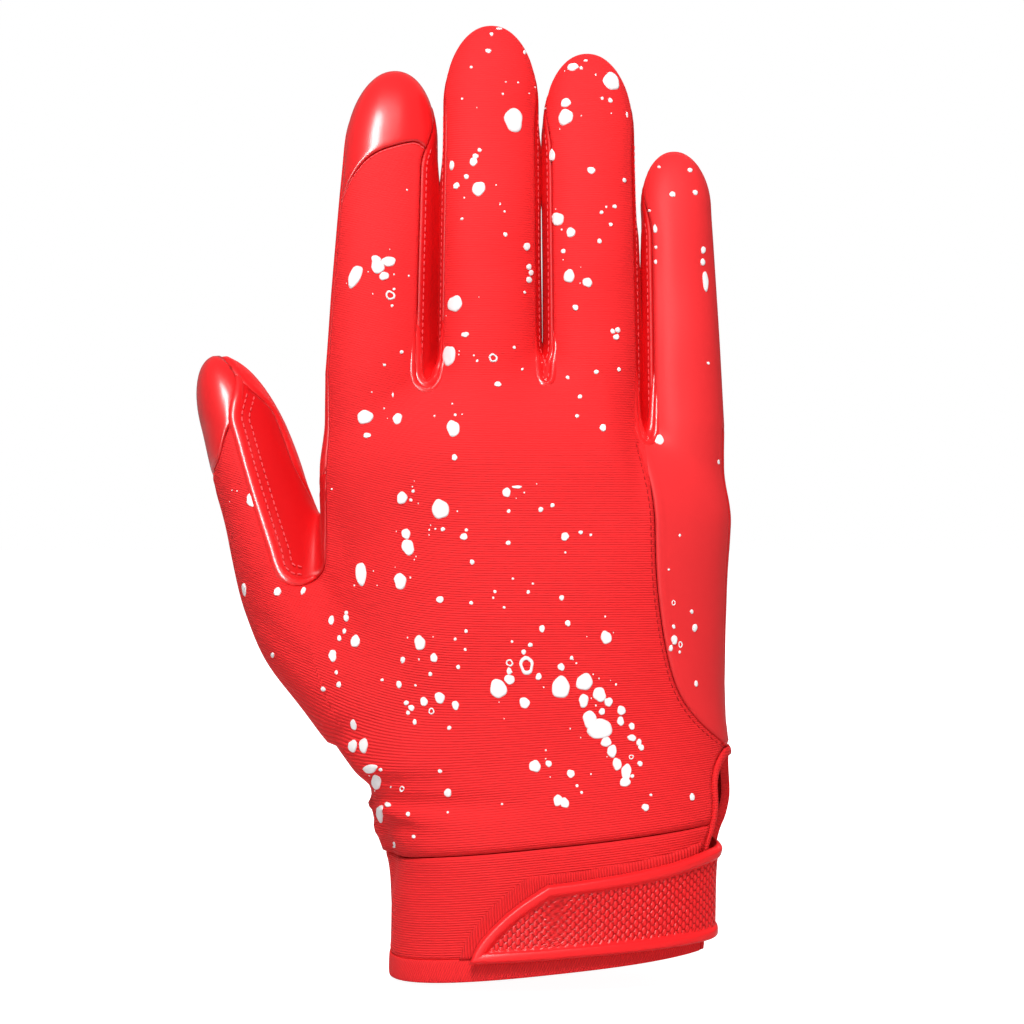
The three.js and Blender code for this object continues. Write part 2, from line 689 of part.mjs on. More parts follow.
function palmPanelGrids() {
  const topRow = [...palmUpper[0], ...palmCrotch.slice(1, webSteps), ...thumbPalm[0]].reverse();
  const last = topRow.length - 1;
  const angles = topRow.map((_, c) => mix(radialCuffAngle + fullTurn, slitPalm, c / last));
  const lower = wristRowsTo(topRow, thumbColumns + 1, angles, palmOuterAngle, 1);
  const strips = fingers.map(
    (f) => fullTip(f, palmColumns, -1, strip(f, palmColumns, 'palmUlnar', 'palmRadial')));
  return [palmUpper, lower, ...strips, fullTip(thumb, thumbColumns, -1, thumbPalm)];
}

function tipGrid(limb, columns) {
  return fullTip(limb, columns, 1, strip(limb, columns, 'backRadial', 'backUlnar').slice(tipSeamRow));
}

// The side cloth: the little finger's back and the outer edge of the hand down to the slit.
function sidePanelGrids() {
  const shaft = strip(littleFinger, stripColumns, 'backRadial', 'backUlnar');
  const comb = [...lastWeb().slice(webSteps / 2, webSteps), ...shaft[0]];
  const columns = comb.length - 1;
  const row = (left, right, zAt, v, top) => comb.map((up, c) => {
    if (c === 0) return left;
    if (c === columns) return right;
    const t = c / columns;
    const spread = (up[0] - comb[0][0]) / (comb[columns][0] - comb[0][0]);
    const z = zAt(t, up[2]);
    const face = handFace(mix(backEdgeAngle(z), palmEdgeAngle(z), mix(t, spread, ease(v))), z);
    const pull = ease((v - 0.5) / 0.5) * 0.85 * top;
    return pull ? settle(mixPoint(face, [up[0], up[1], z], pull)) : face;
  });
  const lower = [];
  const backEnd = backUpper[0].length - 1;
  const backX = handFace(slitBack, cuffSeamLevel)[0];
  const palmX = handFace(slitPalm, cuffSeamLevel)[0];
  for (let j = slitRow; j < wristLevels.length - 1; j += 1) {
    const left = edgeLevel(backX, j);
    const right = edgeLevel(palmX, j);
    lower.push(row(
      handFace(backOuterAngle(left), left), handFace(palmOuterAngle(right), right),
      (t) => mix(left, right, t), 0, 0));
  }
  const upper = [];
  for (let j = 0; j < handRows; j += 1) {
    const level = (t, top) => handRowLevel(j, crotchLevel, top);
    upper.push(row(backUpper[j][backEnd], palmUpper[j][0], level, j / handRows, 1));
  }
  upper.push(comb);
  return [[...lower, ...upper], fullTip(littleFinger, stripColumns, 1, shaft)];
}

// A row across a web, from the back's edge to the palm's, humped up and out in between.
function webRow(onBack, onPalm, columns, hump, out = 0) {
  const row = [];
  for (let k = 0; k <= columns; k += 1) {
    const t = k / columns;
    const p = mixPoint(onBack, onPalm, t);
    p[0] -= out * Math.sin(Math.PI * t);
    p[2] += hump * Math.sin(Math.PI * t);
    row.push(k === 0 || k === columns ? p : settle(p));
  }
  return row;
}

// A limb's side strip, ending a little short of where its two seams meet.
function sideLeg(limb, columns, from, to) {
  const rows = strip(limb, columns, from, to);
  const end = rows.pop();
  rows.push(rows[rows.length - 1].map((p, k) => mixPoint(p, end[k], 0.7)));
  return rows;
}

// A side strip between two fingers: down one finger, round the web and up the next.
const sideColumns = 2;
function sideStripGrids(near, far) {
  const down = sideLeg(near, sideColumns, 'backUlnar', 'palmUlnar').reverse();
  const up = sideLeg(far, sideColumns, 'backRadial', 'palmRadial');
  const onBack = webArc(corner(near, 'backUlnar'), corner(far, 'backRadial'), webDrop, webSteps, -1);
  const onPalm = webArc(corner(far, 'palmRadial'), corner(near, 'palmUlnar'), webDrop, webSteps, 1)
    .reverse();
  const web = [];
  for (let j = 1; j < webSteps; j += 1) {
    web.push(webRow(onBack[j], onPalm[j], sideColumns, 2.5 * Math.sin((Math.PI * j) / webSteps)));
  }
  return [[...down, ...web, ...up]];
}

// The gusset between thumb and hand.
const gussetColumns = 5;
function gussetGrids() {
  const down = sideLeg(thumb, gussetColumns, 'backUlnar', 'palmUlnar').reverse();
  const onPalm = [...palmCrotch].reverse();
  const web = [];
  for (let j = 1; j < webSteps; j += 1) web.push(webRow(backCrotch[j], onPalm[j], gussetColumns, 4));
  const up = [];
  const palmEnd = palmUpper[0].length - 1;
  for (let j = 0; j <= gussetRow; j += 1) {
    const back = Math.max(0, j - 1);
    const share = j === gussetRow ? 0.3 : 0;
    const from = mixPoint(backUpper[j][0], backUpper[back][0], share);
    const to = mixPoint(palmUpper[j][palmEnd], palmUpper[back][palmEnd], share);
    up.push(webRow(from, to, gussetColumns, 3 - j, j));
  }
  return [[...down, ...web, ...up]];
}

// A closed solid from grids of points that share their edges: the sheet is trimmed by half a seam
// gap all round, then given its wall. from and to are offsets along the outward normal.
function solidFromGrids(grids, from, to, trim = seamGap / 2) {
  const points = [];
  const seen = new Map();
  const triangles = [];
  const indexOf = (p) => {
    const key = p.map((c) => Math.round(c * 200)).join();
    if (!seen.has(key)) {
      seen.set(key, points.length);
      points.push(p);
    }
    return seen.get(key);
  };
  const outward = [];
  const normalOf = (i) => (outward[i] ??= new THREE.Vector3(...outwardAt(points[i])));
  const place = (i) => new THREE.Vector3(...points[i].slice(0, 3));
  const facing = ([a, b, c]) => {
    const turn = place(b).sub(place(a)).cross(place(c).sub(place(a)));
    return turn.dot(normalOf(a)) + turn.dot(normalOf(b)) + turn.dot(normalOf(c));
  };
  for (const grid of grids) {
    const found = [];
    for (let j = 0; j + 1 < grid.length; j += 1) {
      for (let k = 0; k + 1 < grid[j].length; k += 1) {
        const [a, b] = [indexOf(grid[j][k]), indexOf(grid[j][k + 1])];
        const [c, d] = [indexOf(grid[j + 1][k]), indexOf(grid[j + 1][k + 1])];
        const short = place(a).distanceTo(place(d)) <= place(b).distanceTo(place(c));
        found.push(...(short ? [[a, b, d], [a, d, c]] : [[a, b, c], [b, d, c]]));
      }
    }
    const whole = found.filter(([a, b, c]) => a !== b && b !== c && c !== a);
    const sum = whole.reduce((total, triangle) => total + facing(triangle), 0);
    triangles.push(...(sum > 0 ? whole : whole.map(([a, b, c]) => [a, c, b])));
  }
  const edges = new Map();
  for (const [a, b, c] of triangles) {
    for (const [u, w, opposite] of [[a, b, c], [b, c, a], [c, a, b]]) edges.set(u + '_' + w, opposite);
  }
  const rim = [...edges.keys()].map((key) => key.split('_').map(Number))
    .filter(([u, w]) => !edges.has(w + '_' + u));
  const inwards = points.map(() => []);
  for (const [u, w] of rim) {
    const along = place(w).sub(place(u)).normalize();
    for (const i of [u, w]) inwards[i].push(normalOf(i).clone().cross(along).normalize());
  }
  const trimmed = points.map((p, i) => {
    if (!inwards[i].length) return place(i);
    const sum = inwards[i].reduce((a, v) => a.add(v), new THREE.Vector3());
    const spread = Math.max(0.35, sum.length() / inwards[i].length);
    return place(i).addScaledVector(sum.normalize(), trim / spread);
  });
  const vertices = [];
  for (const [offset, slot] of [[to, 3], [from, 4]]) {
    trimmed.forEach((p, i) => {
      vertices.push(...p.clone().addScaledVector(normalOf(i), points[i][slot] ?? offset));
    });
  }
  const count = points.length;
  const index = [];
  for (const [a, b, c] of triangles) index.push(a, b, c, a + count, c + count, b + count);
  for (const [u, w] of rim) index.push(w, u, u + count, w, u + count, w + count);
  return geometryOf(vertices, index);
}

function geometryOf(vertices, index) {
  const geometry = new THREE.BufferGeometry();
  geometry.setAttribute('position', new THREE.Float32BufferAttribute(vertices, 3));
  geometry.setIndex(index);
  geometry.computeVertexNormals();
  return geometry;
}

// The cuff band goes all round from one side of the slit to the other.
const cuffColumns = 38;
const cuffAngle = (t) => mix(slitBack, slitPalm - fullTurn, t);
function cuffPoint(angle, height) {
  const low = handFace(angle, cuffSeamLevel / 2)[0];
  const x = mix(low, handFace(angle, cuffSeamLevel)[0], clamp01(height / cuffHeight));
  return handFace(angle, cuffBottomAt(x) + height);
}

function cuffGrid() {
  const rows = [];
  for (const t of [0, 0.33, 0.67, 1]) {
    const row = [];
    for (let c = 0; c <= cuffColumns; c += 1) {
      row.push(cuffPoint(cuffAngle(c / cuffColumns), mix(hemHeight + seamGap / 2, cuffHeight, t)));
    }
    rows.push(row);
  }
  return rows;
}

// The rolled hem: a rounded outline carried round the cuff's lower edge.
function hemGeometry() {
  const low = 0.2;
  const outline = [
    [-cuffWall, 0.17], [-cuffWall, 0.83], [-cuffWall / 2, 1], [0.2, 1],
    [hemBulge, 0.8], [hemBulge, low], [0.2, 0], [-cuffWall / 2, 0],
  ];
  const end = seamGap / 2 / cuffWidth;
  const rings = [];
  for (let c = 0; c <= cuffColumns; c += 1) {
    const angle = cuffAngle(mix(end, 1 - end, c / cuffColumns));
    rings.push(outline.map(([offset, level]) => {
      const p = cuffPoint(angle, level * hemHeight);
      const n = outwardAt(cuffPoint(angle, hemHeight));
      const flat = Math.hypot(n[0], n[1]);
      return [p[0] + (n[0] / flat) * offset, p[1] + (n[1] / flat) * offset, p[2]];
    }));
  }
  return tubeGeometry(rings);
}

// A closed solid from rings of equal length, with flat ends.
function tubeGeometry(rings) {
  const count = rings[0].length;
  const vertices = rings.flat(2);
  const index = [];
  for (let r = 0; r + 1 < rings.length; r += 1) {
    for (let i = 0; i < count; i += 1) {
      const a = r * count + i;
      const b = r * count + ((i + 1) % count);
      index.push(a, b, b + count, a, b + count, a + count);
    }
  }
  const last = (rings.length - 1) * count;
  for (let i = 1; i + 1 < count; i += 1) {
    index.push(0, i + 1, i);
    index.push(last, last + i, last + i + 1);
  }
  return orientedGeometry(vertices, index);
}

function orientedGeometry(vertices, index) {
  let volume = 0;
  for (let t = 0; t < index.length; t += 3) {
    const [a, b, c] = [0, 1, 2].map((i) => new THREE.Vector3().fromArray(vertices, index[t + i] * 3));
    volume += a.dot(b.cross(c));
  }
  const turned = volume < 0 ? index.reverse() : index;
  return geometryOf(vertices, turned);
}

// The binding goes up one side of the slit, round its end and down the other side.
function bindingGrid() {
  const path = [];
  const straight = slitTop - slitArch;
  const degreesAcross = bindingWidth / (cuffWidth / 2) / degree;
  const side = (meet, end, sign) => {
    const rows = [];
    for (const t of [0, 0.25, 0.5, 0.75]) rows.push([end, t, null, sign, 0]);
    for (const turn of [0, 30, 60, 90]) {
      const z = straight + slitArch * Math.sin(turn * degree);
      rows.push([mix(meet, end, Math.cos(turn * degree)), 1, z, sign, turn * degree]);
    }
    return rows;
  };
  path.push(...side(slitMeetBack, slitBack, 1));
  path.push([mix(slitMeetBack, slitMeetPalm, 0.5), 1, slitTop, 0, Math.PI / 2]);
  path.push(...side(slitMeetPalm, slitPalm, -1).reverse());
  return path.map(([angle, t, level, sign, turn]) => {
    const row = [];
    for (const across of [0, 0.3, 0.7, 1]) {
      const bow = across === 0 || across === 1 ? 0.25 : 1;
      const here = angle + sign * Math.cos(turn) * degreesAcross * across;
      const low = cuffPoint(here, 0)[2];
      const z = (level ?? mix(low, straight, t)) - Math.sin(turn) * bindingWidth * across;
      row.push([...handFace(here, z), bindingBulge * bow, -cuffWall * mix(0.75, 1, bow)]);
    }
    return row;
  });
}

// The strap's tab lies on the cuff, bridges the slit and runs in under the palm's edge.
const tabEndAngleAt = curveThrough(tabEnd, 'across', 'angle');
const tabBottomAt = curveThrough(tabEdges, 'angle', 'bottom');
const tabTopAt = curveThrough(tabEdges, 'angle', 'top');
function tabLiftAt(angle) {
  return mix(tabLift, -cuffWall - seamGap - 0.25 - tabThickness, ease((angle - 63) / 33));
}

function tabGrid() {
  const rimAcross = tabRimWidth / ((tabTopAt(20) - tabBottomAt(20)) * cuffHeight);
  const rimAlong = tabRimWidth * 1.9 / ((tabEndAngle + 24) * degree * cuffWidth / 2);
  const step = 0.016;
  const inner = [0.14, 0.26, 0.38, 0.5, 0.58, 0.66, 0.72, 0.78, 0.84, 0.9];
  const along = [0, rimAlong, rimAlong + step / 2, ...inner, 1];
  const edge = [0, rimAcross, rimAcross + step];
  const across = [...edge, 0.34, 0.5, 0.66, ...edge.map((v) => 1 - v).reverse()];
  return across.map((v) => along.map((u) => {
    const angle = mix(tabEndAngleAt(v), tabEndAngle, u);
    const p = cuffPoint(angle, mix(tabBottomAt(angle), tabTopAt(angle), v) * cuffHeight);
    const onRim = v <= rimAcross || v >= 1 - rimAcross || u <= rimAlong;
    const rim = onRim ? tabRimHeight * (1 - ease((angle - 60) / 28)) : 0;
    const lift = tabLiftAt(angle);
    return [...p, lift + tabThickness + rim, lift];
  }));
}

// The loop patch shows as a margin above the tab and beyond its end.
function patchGrid() {
  const margin = patchMargin / cuffHeight;
  const marginAngle = (patchMargin * 1.6) / (cuffWidth / 2) / degree;
  const rows = [];
  for (const v of [0, 0.25, 0.5, 0.75, 1]) {
    const row = [];
    for (let c = 0; c <= 14; c += 1) {
      const angle = mix(tabEndAngleAt(v) - marginAngle, slitBack - 4, c / 14);
      const low = (hemHeight + seamGap) / cuffHeight;
      row.push(cuffPoint(angle, mix(low, tabTopAt(angle) + margin, v) * cuffHeight));
    }
    rows.push(row);
  }
  return rows;
}

const glove = new THREE.Group();
function addPiece(name, geometry, colour, roughness) {
  const material = new THREE.MeshStandardMaterial({ color: colour, roughness, metalness: 0 });
  const mesh = new THREE.Mesh(geometry, material);
  mesh.name = name;
  glove.add(mesh);
}

const knitRed = 0xf03438;
const smoothRed = 0xe63236;
const coatedRed = 0xee1c22;

addPiece('back_panel', solidFromGrids(backPanelGrids(), -knitWall, 0), knitRed, 0.8);
addPiece('palm_panel', solidFromGrids(palmPanelGrids(), -coatedWall, 0), coatedRed, 0.35);
addPiece('side_panel', solidFromGrids(sidePanelGrids(), -sideWall, 0), smoothRed, 0.6);
addPiece('index_tip', solidFromGrids([tipGrid(indexFinger, stripColumns)], -coatedWall, 0), coatedRed, 0.3);
addPiece('thumb_tip', solidFromGrids([tipGrid(thumb, thumbColumns)], -coatedWall, 0), coatedRed, 0.3);
const parts = [
  ['index_middle', indexFinger, middleFinger],
  ['middle_ring', middleFinger, ringFinger],
  ['ring_little', ringFinger, littleFinger]];
for (const [name, near, far] of parts) {
  addPiece('side_strip_' + name, solidFromGrids(sideStripGrids(near, far), -sideWall, 0), coatedRed, 0.5);
}
addPiece('thumb_gusset', solidFromGrids(gussetGrids(), -coatedWall, 0), coatedRed, 0.35);
addPiece('cuff_band', solidFromGrids([cuffGrid()], -cuffWall, 0), knitRed, 0.8);
addPiece('cuff_hem', hemGeometry(), knitRed, 0.8);
addPiece('slit_binding', solidFromGrids([bindingGrid()], 0, 0), knitRed, 0.8);
addPiece('loop_patch', solidFromGrids([patchGrid()], seamGap, seamGap + patchThickness), knitRed, 0.9);
addPiece('closure_tab', solidFromGrids([tabGrid()], 0, 0, 0), smoothRed, 0.35);

export default glove;
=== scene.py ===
import math

import bpy
import numpy as np
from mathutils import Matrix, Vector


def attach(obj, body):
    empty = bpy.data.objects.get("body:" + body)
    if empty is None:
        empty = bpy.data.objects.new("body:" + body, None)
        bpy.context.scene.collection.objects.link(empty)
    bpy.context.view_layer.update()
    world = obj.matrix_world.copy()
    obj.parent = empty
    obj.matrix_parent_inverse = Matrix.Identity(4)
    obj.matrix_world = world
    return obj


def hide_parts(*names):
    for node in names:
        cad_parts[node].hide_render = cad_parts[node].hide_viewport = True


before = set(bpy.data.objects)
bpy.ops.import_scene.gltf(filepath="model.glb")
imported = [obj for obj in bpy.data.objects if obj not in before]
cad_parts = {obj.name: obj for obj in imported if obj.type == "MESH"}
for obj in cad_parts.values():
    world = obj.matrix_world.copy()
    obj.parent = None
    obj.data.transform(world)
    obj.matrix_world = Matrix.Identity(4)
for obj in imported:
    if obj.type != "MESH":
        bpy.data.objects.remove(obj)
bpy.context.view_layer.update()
print("frame loaded")

degree = math.pi / 180

# sizes of the glove in millimetres, the same ones as in the frame's own source
cuff = {"width": 79, "depth": 52, "height": 29, "tilt": 8.5, "wall": 1.8, "hemHeight": 4.8,
        "hemBulge": 0.3, "hemOverlap": 0.45, "drawnIn": 1.1, "ribPitch": 0.56}
hand = {"palmLength": 110, "depth": 34, "shift": -7, "arch": 3.5, "hollow": 2.4, "littleWebDrop": 12.5,
        "gap": 0.9, "square": 2.5, "topRound": 27, "topAbove": 3, "webBlend": 5, "crotchBlend": 4.5,
        "rootBlend": 16}
seam = {"gap": 0.3, "knitWall": 1.4, "coatedWall": 1.2, "sideWall": 1.1, "groove": 0.42, "reach": 0.5,
        "shoulder": 0.10, "shoulderAt": 1.5, "shoulderWidth": 0.7, "slackFrom": 6}
slit = {"top": 54.2, "arch": 10, "back": 57, "palm": 102, "meetBack": 77, "meetPalm": 92,
        "bindingWidth": 2.2, "bindingBulge": 0.5, "bindingRound": 1.5}
cuffSeamLevel = cuff["height"] + cuff["tilt"] / 2
webLevel = cuffSeamLevel + hand["palmLength"]
fingerSquare = 2.25
crotch = {"level": 99, "drop": 6.5, "innerAngle": 140, "innerRise": 10, "innerSeam": 152,
          "palmRise": 7, "palmDrop": 1, "gussetAngle": -118, "radialAngle": -72, "cuffAngle": -104,
          "ulnarAngle": 80}


# straight mix from a to b
def mix(a, b, t):
    return a + (b - a) * t


def clamp01(t):
    return np.clip(t, 0.0, 1.0)


# smooth step: three squares less two cubes of t between 0 and 1
def ease(t):
    t = clamp01(t)
    return t * t * (3 - 2 * t)


# power of the size with the value's own sign, for superellipses
def signedPower(value, power):
    return np.sign(value) * np.abs(value) ** power


# vectors divided by their length
def unit(v):
    return v / np.maximum(np.linalg.norm(v, axis=-1, keepdims=True), 1e-9)


# cubic through the values, with the chords' mean slope at each knot and level ends
def curveThrough(knots, values):
    knots, values = np.array(knots, float), np.array(values, float)
    last = len(knots) - 1
    before = np.maximum(np.arange(last + 1) - 1, 0)
    after = np.minimum(np.arange(last + 1) + 1, last)
    slope = (values[after] - values[before]) / (knots[after] - knots[before])

    def at(t):
        t = np.clip(t, knots[0], knots[-1])
        i = np.clip(np.searchsorted(knots, t, side="right") - 1, 0, last - 1)
        span = knots[i + 1] - knots[i]
        s = (t - knots[i]) / span
        h = s * s * (3 - 2 * s)
        return (values[i] * (1 - h) + values[i + 1] * h
                + span * s * (1 - s) * (slope[i] * (1 - s) - slope[i + 1] * s))
    return at


# level above the cuff as a share of the palm's length; how far the four sides move out there
handLevels = [-0.35, -0.16, -0.05, 0, 0.03, 0.08, 0.16, 0.25, 0.34, 0.52, 0.70, 0.86, 1]
handSides = {
    "radial": [0, -0.006, -0.006, 0.006, 0.024, 0.050, 0.080, 0.082, 0.083, 0.091, 0.064, 0.026, 0],
    "ulnar": [-0.010, -0.006, -0.002, 0.010, 0.024, 0.034, 0.026, 0.014, 0.011, 0.014, 0.018, 0.005, 0],
    "back": [0.015, 0, 0, -0.008, -0.024, -0.045, -0.060, -0.060, -0.060, -0.053, -0.050, -0.030, -0.035],
    "palm": [0.015, 0, 0, 0.002, 0.006, 0.010, 0.026, 0.060, 0.075, 0.050, 0.018, 0.012, -0.015],
}
handCurve = {side: curveThrough(handLevels, values) for side, values in handSides.items()}

fingers = [
    {"name": "index", "width": 26.4, "depth": 22.8, "length": 74.5, "taper": 0.86, "thinning": 0.82,
     "tipRound": 21, "curl": 9, "lean": 3.2, "sink": 1.0, "backRadial": -70, "backUlnar": 42,
     "palmUlnar": 115, "palmRadial": -70, "webRadial": 0, "webUlnar": 0},
    {"name": "middle", "width": 24.5, "depth": 23.2, "length": 85.4, "taper": 0.94, "thinning": 0.82,
     "tipRound": 20.5, "curl": 10, "lean": 0.3, "sink": 0, "backRadial": -68, "backUlnar": 68,
     "palmUlnar": 115, "palmRadial": -115, "webRadial": 0, "webUlnar": 0},
    {"name": "ring", "width": 22.8, "depth": 22.4, "length": 79, "taper": 0.97, "thinning": 0.82,
     "tipRound": 20, "curl": 11, "lean": -0.9, "sink": 0.8, "backRadial": -56, "backUlnar": 68,
     "palmUlnar": 115, "palmRadial": -115, "webRadial": 0, "webUlnar": 1},
    {"name": "little", "width": 19.6, "depth": 19.4, "length": 67.5, "taper": 0.87, "thinning": 0.84,
     "tipRound": 14.5, "curl": 9, "lean": -1.7, "sink": 3.0, "backRadial": -50, "backUlnar": 80,
     "palmUlnar": 80, "palmRadial": -115, "webRadial": 1, "webUlnar": 1},
]
index, middle, ring, little = fingers
knuckleWidth = sum(f["width"] for f in fingers) + 3 * hand["gap"]
knuckleRadial = hand["shift"] - knuckleWidth / 2
knuckleUlnar = hand["shift"] + knuckleWidth / 2
edge = knuckleRadial
for f in fingers:
    f["turn"] = 0.0
    f["baseX"] = edge + f["width"] / 2
    edge += f["width"] + hand["gap"]
    f["base"] = webLevel - hand["littleWebDrop"] * f["webRadial"]
    f["tipStart"] = f["base"] + f["length"] - f["tipRound"]
    f["rootDepth"] = 42

thumb = {"name": "thumb", "reach": 47, "forward": 17, "width": 23, "thickness": 21, "whole": 104,
         "top": 149, "rootX": -36, "rootY": 3, "turn": -65 * degree, "base": crotch["level"],
         "tipRound": 18, "tipStart": 131, "rootDepth": crotch["level"] - 45 + 6, "backRadial": -85,
         "backUlnar": 57, "palmUlnar": 127, "palmRadial": -85, "webRadial": 0, "webUlnar": 0}
thumbLevels = [0, 0.14, 0.26, 0.385, 0.51, 0.625, 0.74, 0.83, 1]
thumbCurve = {
    "out": curveThrough(thumbLevels, [0, 0.20, 0.368, 0.505, 0.62, 0.715, 0.80, 0.865, 1]),
    "forward": curveThrough(thumbLevels, [0, 0.17, 0.29, 0.41, 0.53, 0.65, 0.76, 0.88, 1]),
    "width": curveThrough(thumbLevels, [0.92, 1.30, 1.47, 1.43, 1.24, 1.07, 1.02, 0.97, 0.88]),
    "thickness": curveThrough(thumbLevels, [1.05, 1.34, 1.47, 1.43, 1.25, 1.09, 1.03, 0.97, 0.88]),
}
# creases at the thumb side of the wrist: level, depth, half height, reach towards the middle
wristFolds = [(0.47, 2.6, 0.085, 0.34), (0.235, 1.1, 0.05, 0.16), (0.06, 1.0, 0.045, 0.10)]


# the cuff's lower edge rises in a straight line towards the little finger's side
def cuffBottomAt(x):
    return cuff["tilt"] * (0.5 + x / cuff["width"])


def cuffSeamAt(x):
    return cuffBottomAt(x) + cuff["height"]


# two distances joined by a rounded valley of size k
def melt(a, b, k):
    h = np.maximum(k - np.abs(a - b), 0) / k
    return np.minimum(a, b) - h * h * k / 4


# middle, half width, depth to the back, depth to the palm and arch of the hand at a level
def handSection(z):
    level = (z - cuffSeamLevel) / hand["palmLength"]
    share = clamp01(level)
    radial = mix(-cuff["width"] / 2, knuckleRadial, share) - handCurve["radial"](level) * knuckleWidth
    ulnar = mix(cuff["width"] / 2, knuckleUlnar, share) + handCurve["ulnar"](level) * knuckleWidth
    depth = mix(cuff["depth"], hand["depth"], share) / 2
    return ((radial + ulnar) / 2, (ulnar - radial) / 2, depth + handCurve["back"](level) * hand["depth"],
            depth + handCurve["palm"](level) * hand["depth"], hand["arch"] * ease(level * 2))


# middle, half width and half depth of a limb's section at a level; a finger leans in a
# straight line, curls with the square of its length and narrows over its first three quarters
def limbSection(limb, z):
    if limb is thumb:
        level = (z - thumb["top"]) / thumb["whole"] + 1
        return (thumb["rootX"] - thumb["reach"] * thumbCurve["out"](level),
                thumb["rootY"] + thumb["forward"] * thumbCurve["forward"](level),
                thumb["width"] / 2 * thumbCurve["width"](level),
                thumb["thickness"] / 2 * thumbCurve["thickness"](level))
    t = (z - limb["base"]) / limb["length"]
    up = clamp01(t)
    narrow = clamp01(up / 0.75)
    return (limb["baseX"] + limb["lean"] * up, limb["sink"] + limb["curl"] * up * up,
            limb["width"] / 2 * mix(1, limb["taper"], narrow),
            limb["depth"] / 2 * mix(1, limb["thinning"], narrow) * (1 - 0.12 * clamp01(-t * 2)))


# signed distance to the hand's rounded-off stack of level sections, taken along the ray from its middle
def handField(p):
    x, y, z = p[:, 0], p[:, 1], p[:, 2]
    mid, half, back, palm, arch = handSection(z)
    across = (x - mid) / half
    centre = arch * np.minimum(across * across, 1.4)
    deep = (y - centre) / np.where(y < centre, back, palm)
    flat = (np.abs(across) ** hand["square"] + np.abs(deep) ** hand["square"]) ** (2 / hand["square"])
    littleWebX = knuckleUlnar - little["width"] - hand["gap"] / 2
    drop = ease((x - littleWebX + little["width"] / 2) / (little["width"] / 2))
    top = webLevel + hand["topAbove"] - hand["littleWebDrop"] * drop
    up = np.maximum(0, (z - top + hand["topRound"]) / hand["topRound"])
    reach = np.sqrt((x - mid) ** 2 + (y - centre) ** 2 + (up * hand["topRound"]) ** 2)
    return reach - reach / np.sqrt(flat + up * up + 1e-9)


# the same for a finger or the thumb, whose sections may be turned about the upright
def limbField(limb, p):
    x, y, z = p[:, 0], p[:, 1], p[:, 2]
    midX, midY, half, depth = limbSection(limb, z)
    cos, sin = math.cos(limb["turn"]), math.sin(limb["turn"])
    across = ((x - midX) * cos + (y - midY) * sin) / half
    deep = ((y - midY) * cos - (x - midX) * sin) / depth
    flat = (np.abs(across) ** fingerSquare + np.abs(deep) ** fingerSquare) ** (2 / fingerSquare)
    up = np.maximum(0, (z - limb["tipStart"]) / limb["tipRound"])
    down = np.maximum(0, (limb["base"] - 12 - z) / limb["rootDepth"])
    reach = np.sqrt((x - midX) ** 2 + (y - midY) ** 2 + (up * limb["tipRound"]) ** 2
                    + (down * limb["rootDepth"]) ** 2)
    return reach - reach / np.sqrt(flat + up * up + down * down + 1e-9)


# depth below the smooth form of the wrist's creases and the hollow of the palm
def reliefField(p):
    x, y, z = p[:, 0], p[:, 1], p[:, 2]
    mid, half = handSection(z)[:2]
    depth = np.zeros(len(p))
    for level, deep, high, reach in wristFolds:
        near = (z - cuffSeamAt(-cuff["width"] / 2) - level * cuff["height"]) / (high * cuff["height"])
        inwards = (x - (mid - half)) / (reach * cuff["width"])
        depth += deep * np.exp(-near ** 2 - np.maximum(0, inwards) ** 2)
    across = (x - hand["shift"] - 4) / (knuckleWidth * 0.2)
    along = (z - mix(cuffSeamLevel, webLevel, 0.52)) / (hand["palmLength"] * 0.24)
    return depth + hand["hollow"] * np.exp(-across ** 2 - along ** 2) * ease(y / 8)


# the outer face is where this is zero: hand and thumb melted together, each finger melted on
def form(p):
    blend = mix(hand["rootBlend"], hand["crotchBlend"], ease((p[:, 2] - crotch["level"] + 32) / 32))
    body = melt(handField(p), limbField(thumb, p), blend)
    whole = np.full(len(p), np.inf)
    for f in fingers:
        whole = np.minimum(whole, melt(body, limbField(f, p), hand["webBlend"]))
    return whole + reliefField(p)


# slope of the form by differences over 0.02 mm to each side
def slopeAt(p):
    slopes = []
    for step in np.eye(3) * 0.02:
        slopes.append((form(p + step) - form(p - step)) / 0.04)
    return np.stack(slopes, axis=-1)


# outward direction, the slope made one long
def outwardAt(p):
    p = np.asarray(p, float)
    return unit(slopeAt(p.reshape(-1, 3))).reshape(p.shape)


# Newton steps along the slope until the points lie on the outer face
def settle(points, steps=4):
    shape = points.shape
    p = points.reshape(-1, 3).astype(float)
    for _ in range(steps):
        g = slopeAt(p)
        p = p - g * (form(p) / np.sum(g * g, axis=1))[:, None]
    return p.reshape(shape)


# first point of the outer face on each ray from an inner point, by marching and halving
def castFrom(inside, through):
    inside, through = np.broadcast_arrays(inside, through)
    shape = inside.shape
    a = inside.reshape(-1, 3).astype(float)
    d = unit(through.reshape(-1, 3) - a)
    far = np.full(len(a), 90.0)
    within = np.arange(len(a))
    for r in range(1, 90):
        if not len(within):
            break
        out = form(a[within] + d[within] * r) >= 0
        far[within[out]] = r
        within = within[~out]
    near = far - 1
    for _ in range(14):
        halfway = (near + far) / 2
        out = form(a + d * halfway[:, None]) >= 0
        near, far = np.where(out, near, halfway), np.where(out, halfway, far)
    return (a + d * ((near + far) / 2)[:, None]).reshape(shape)


# points from their x, y and z
def stack(x, y, z):
    return np.stack(np.broadcast_arrays(x, y, z), axis=-1).astype(float)


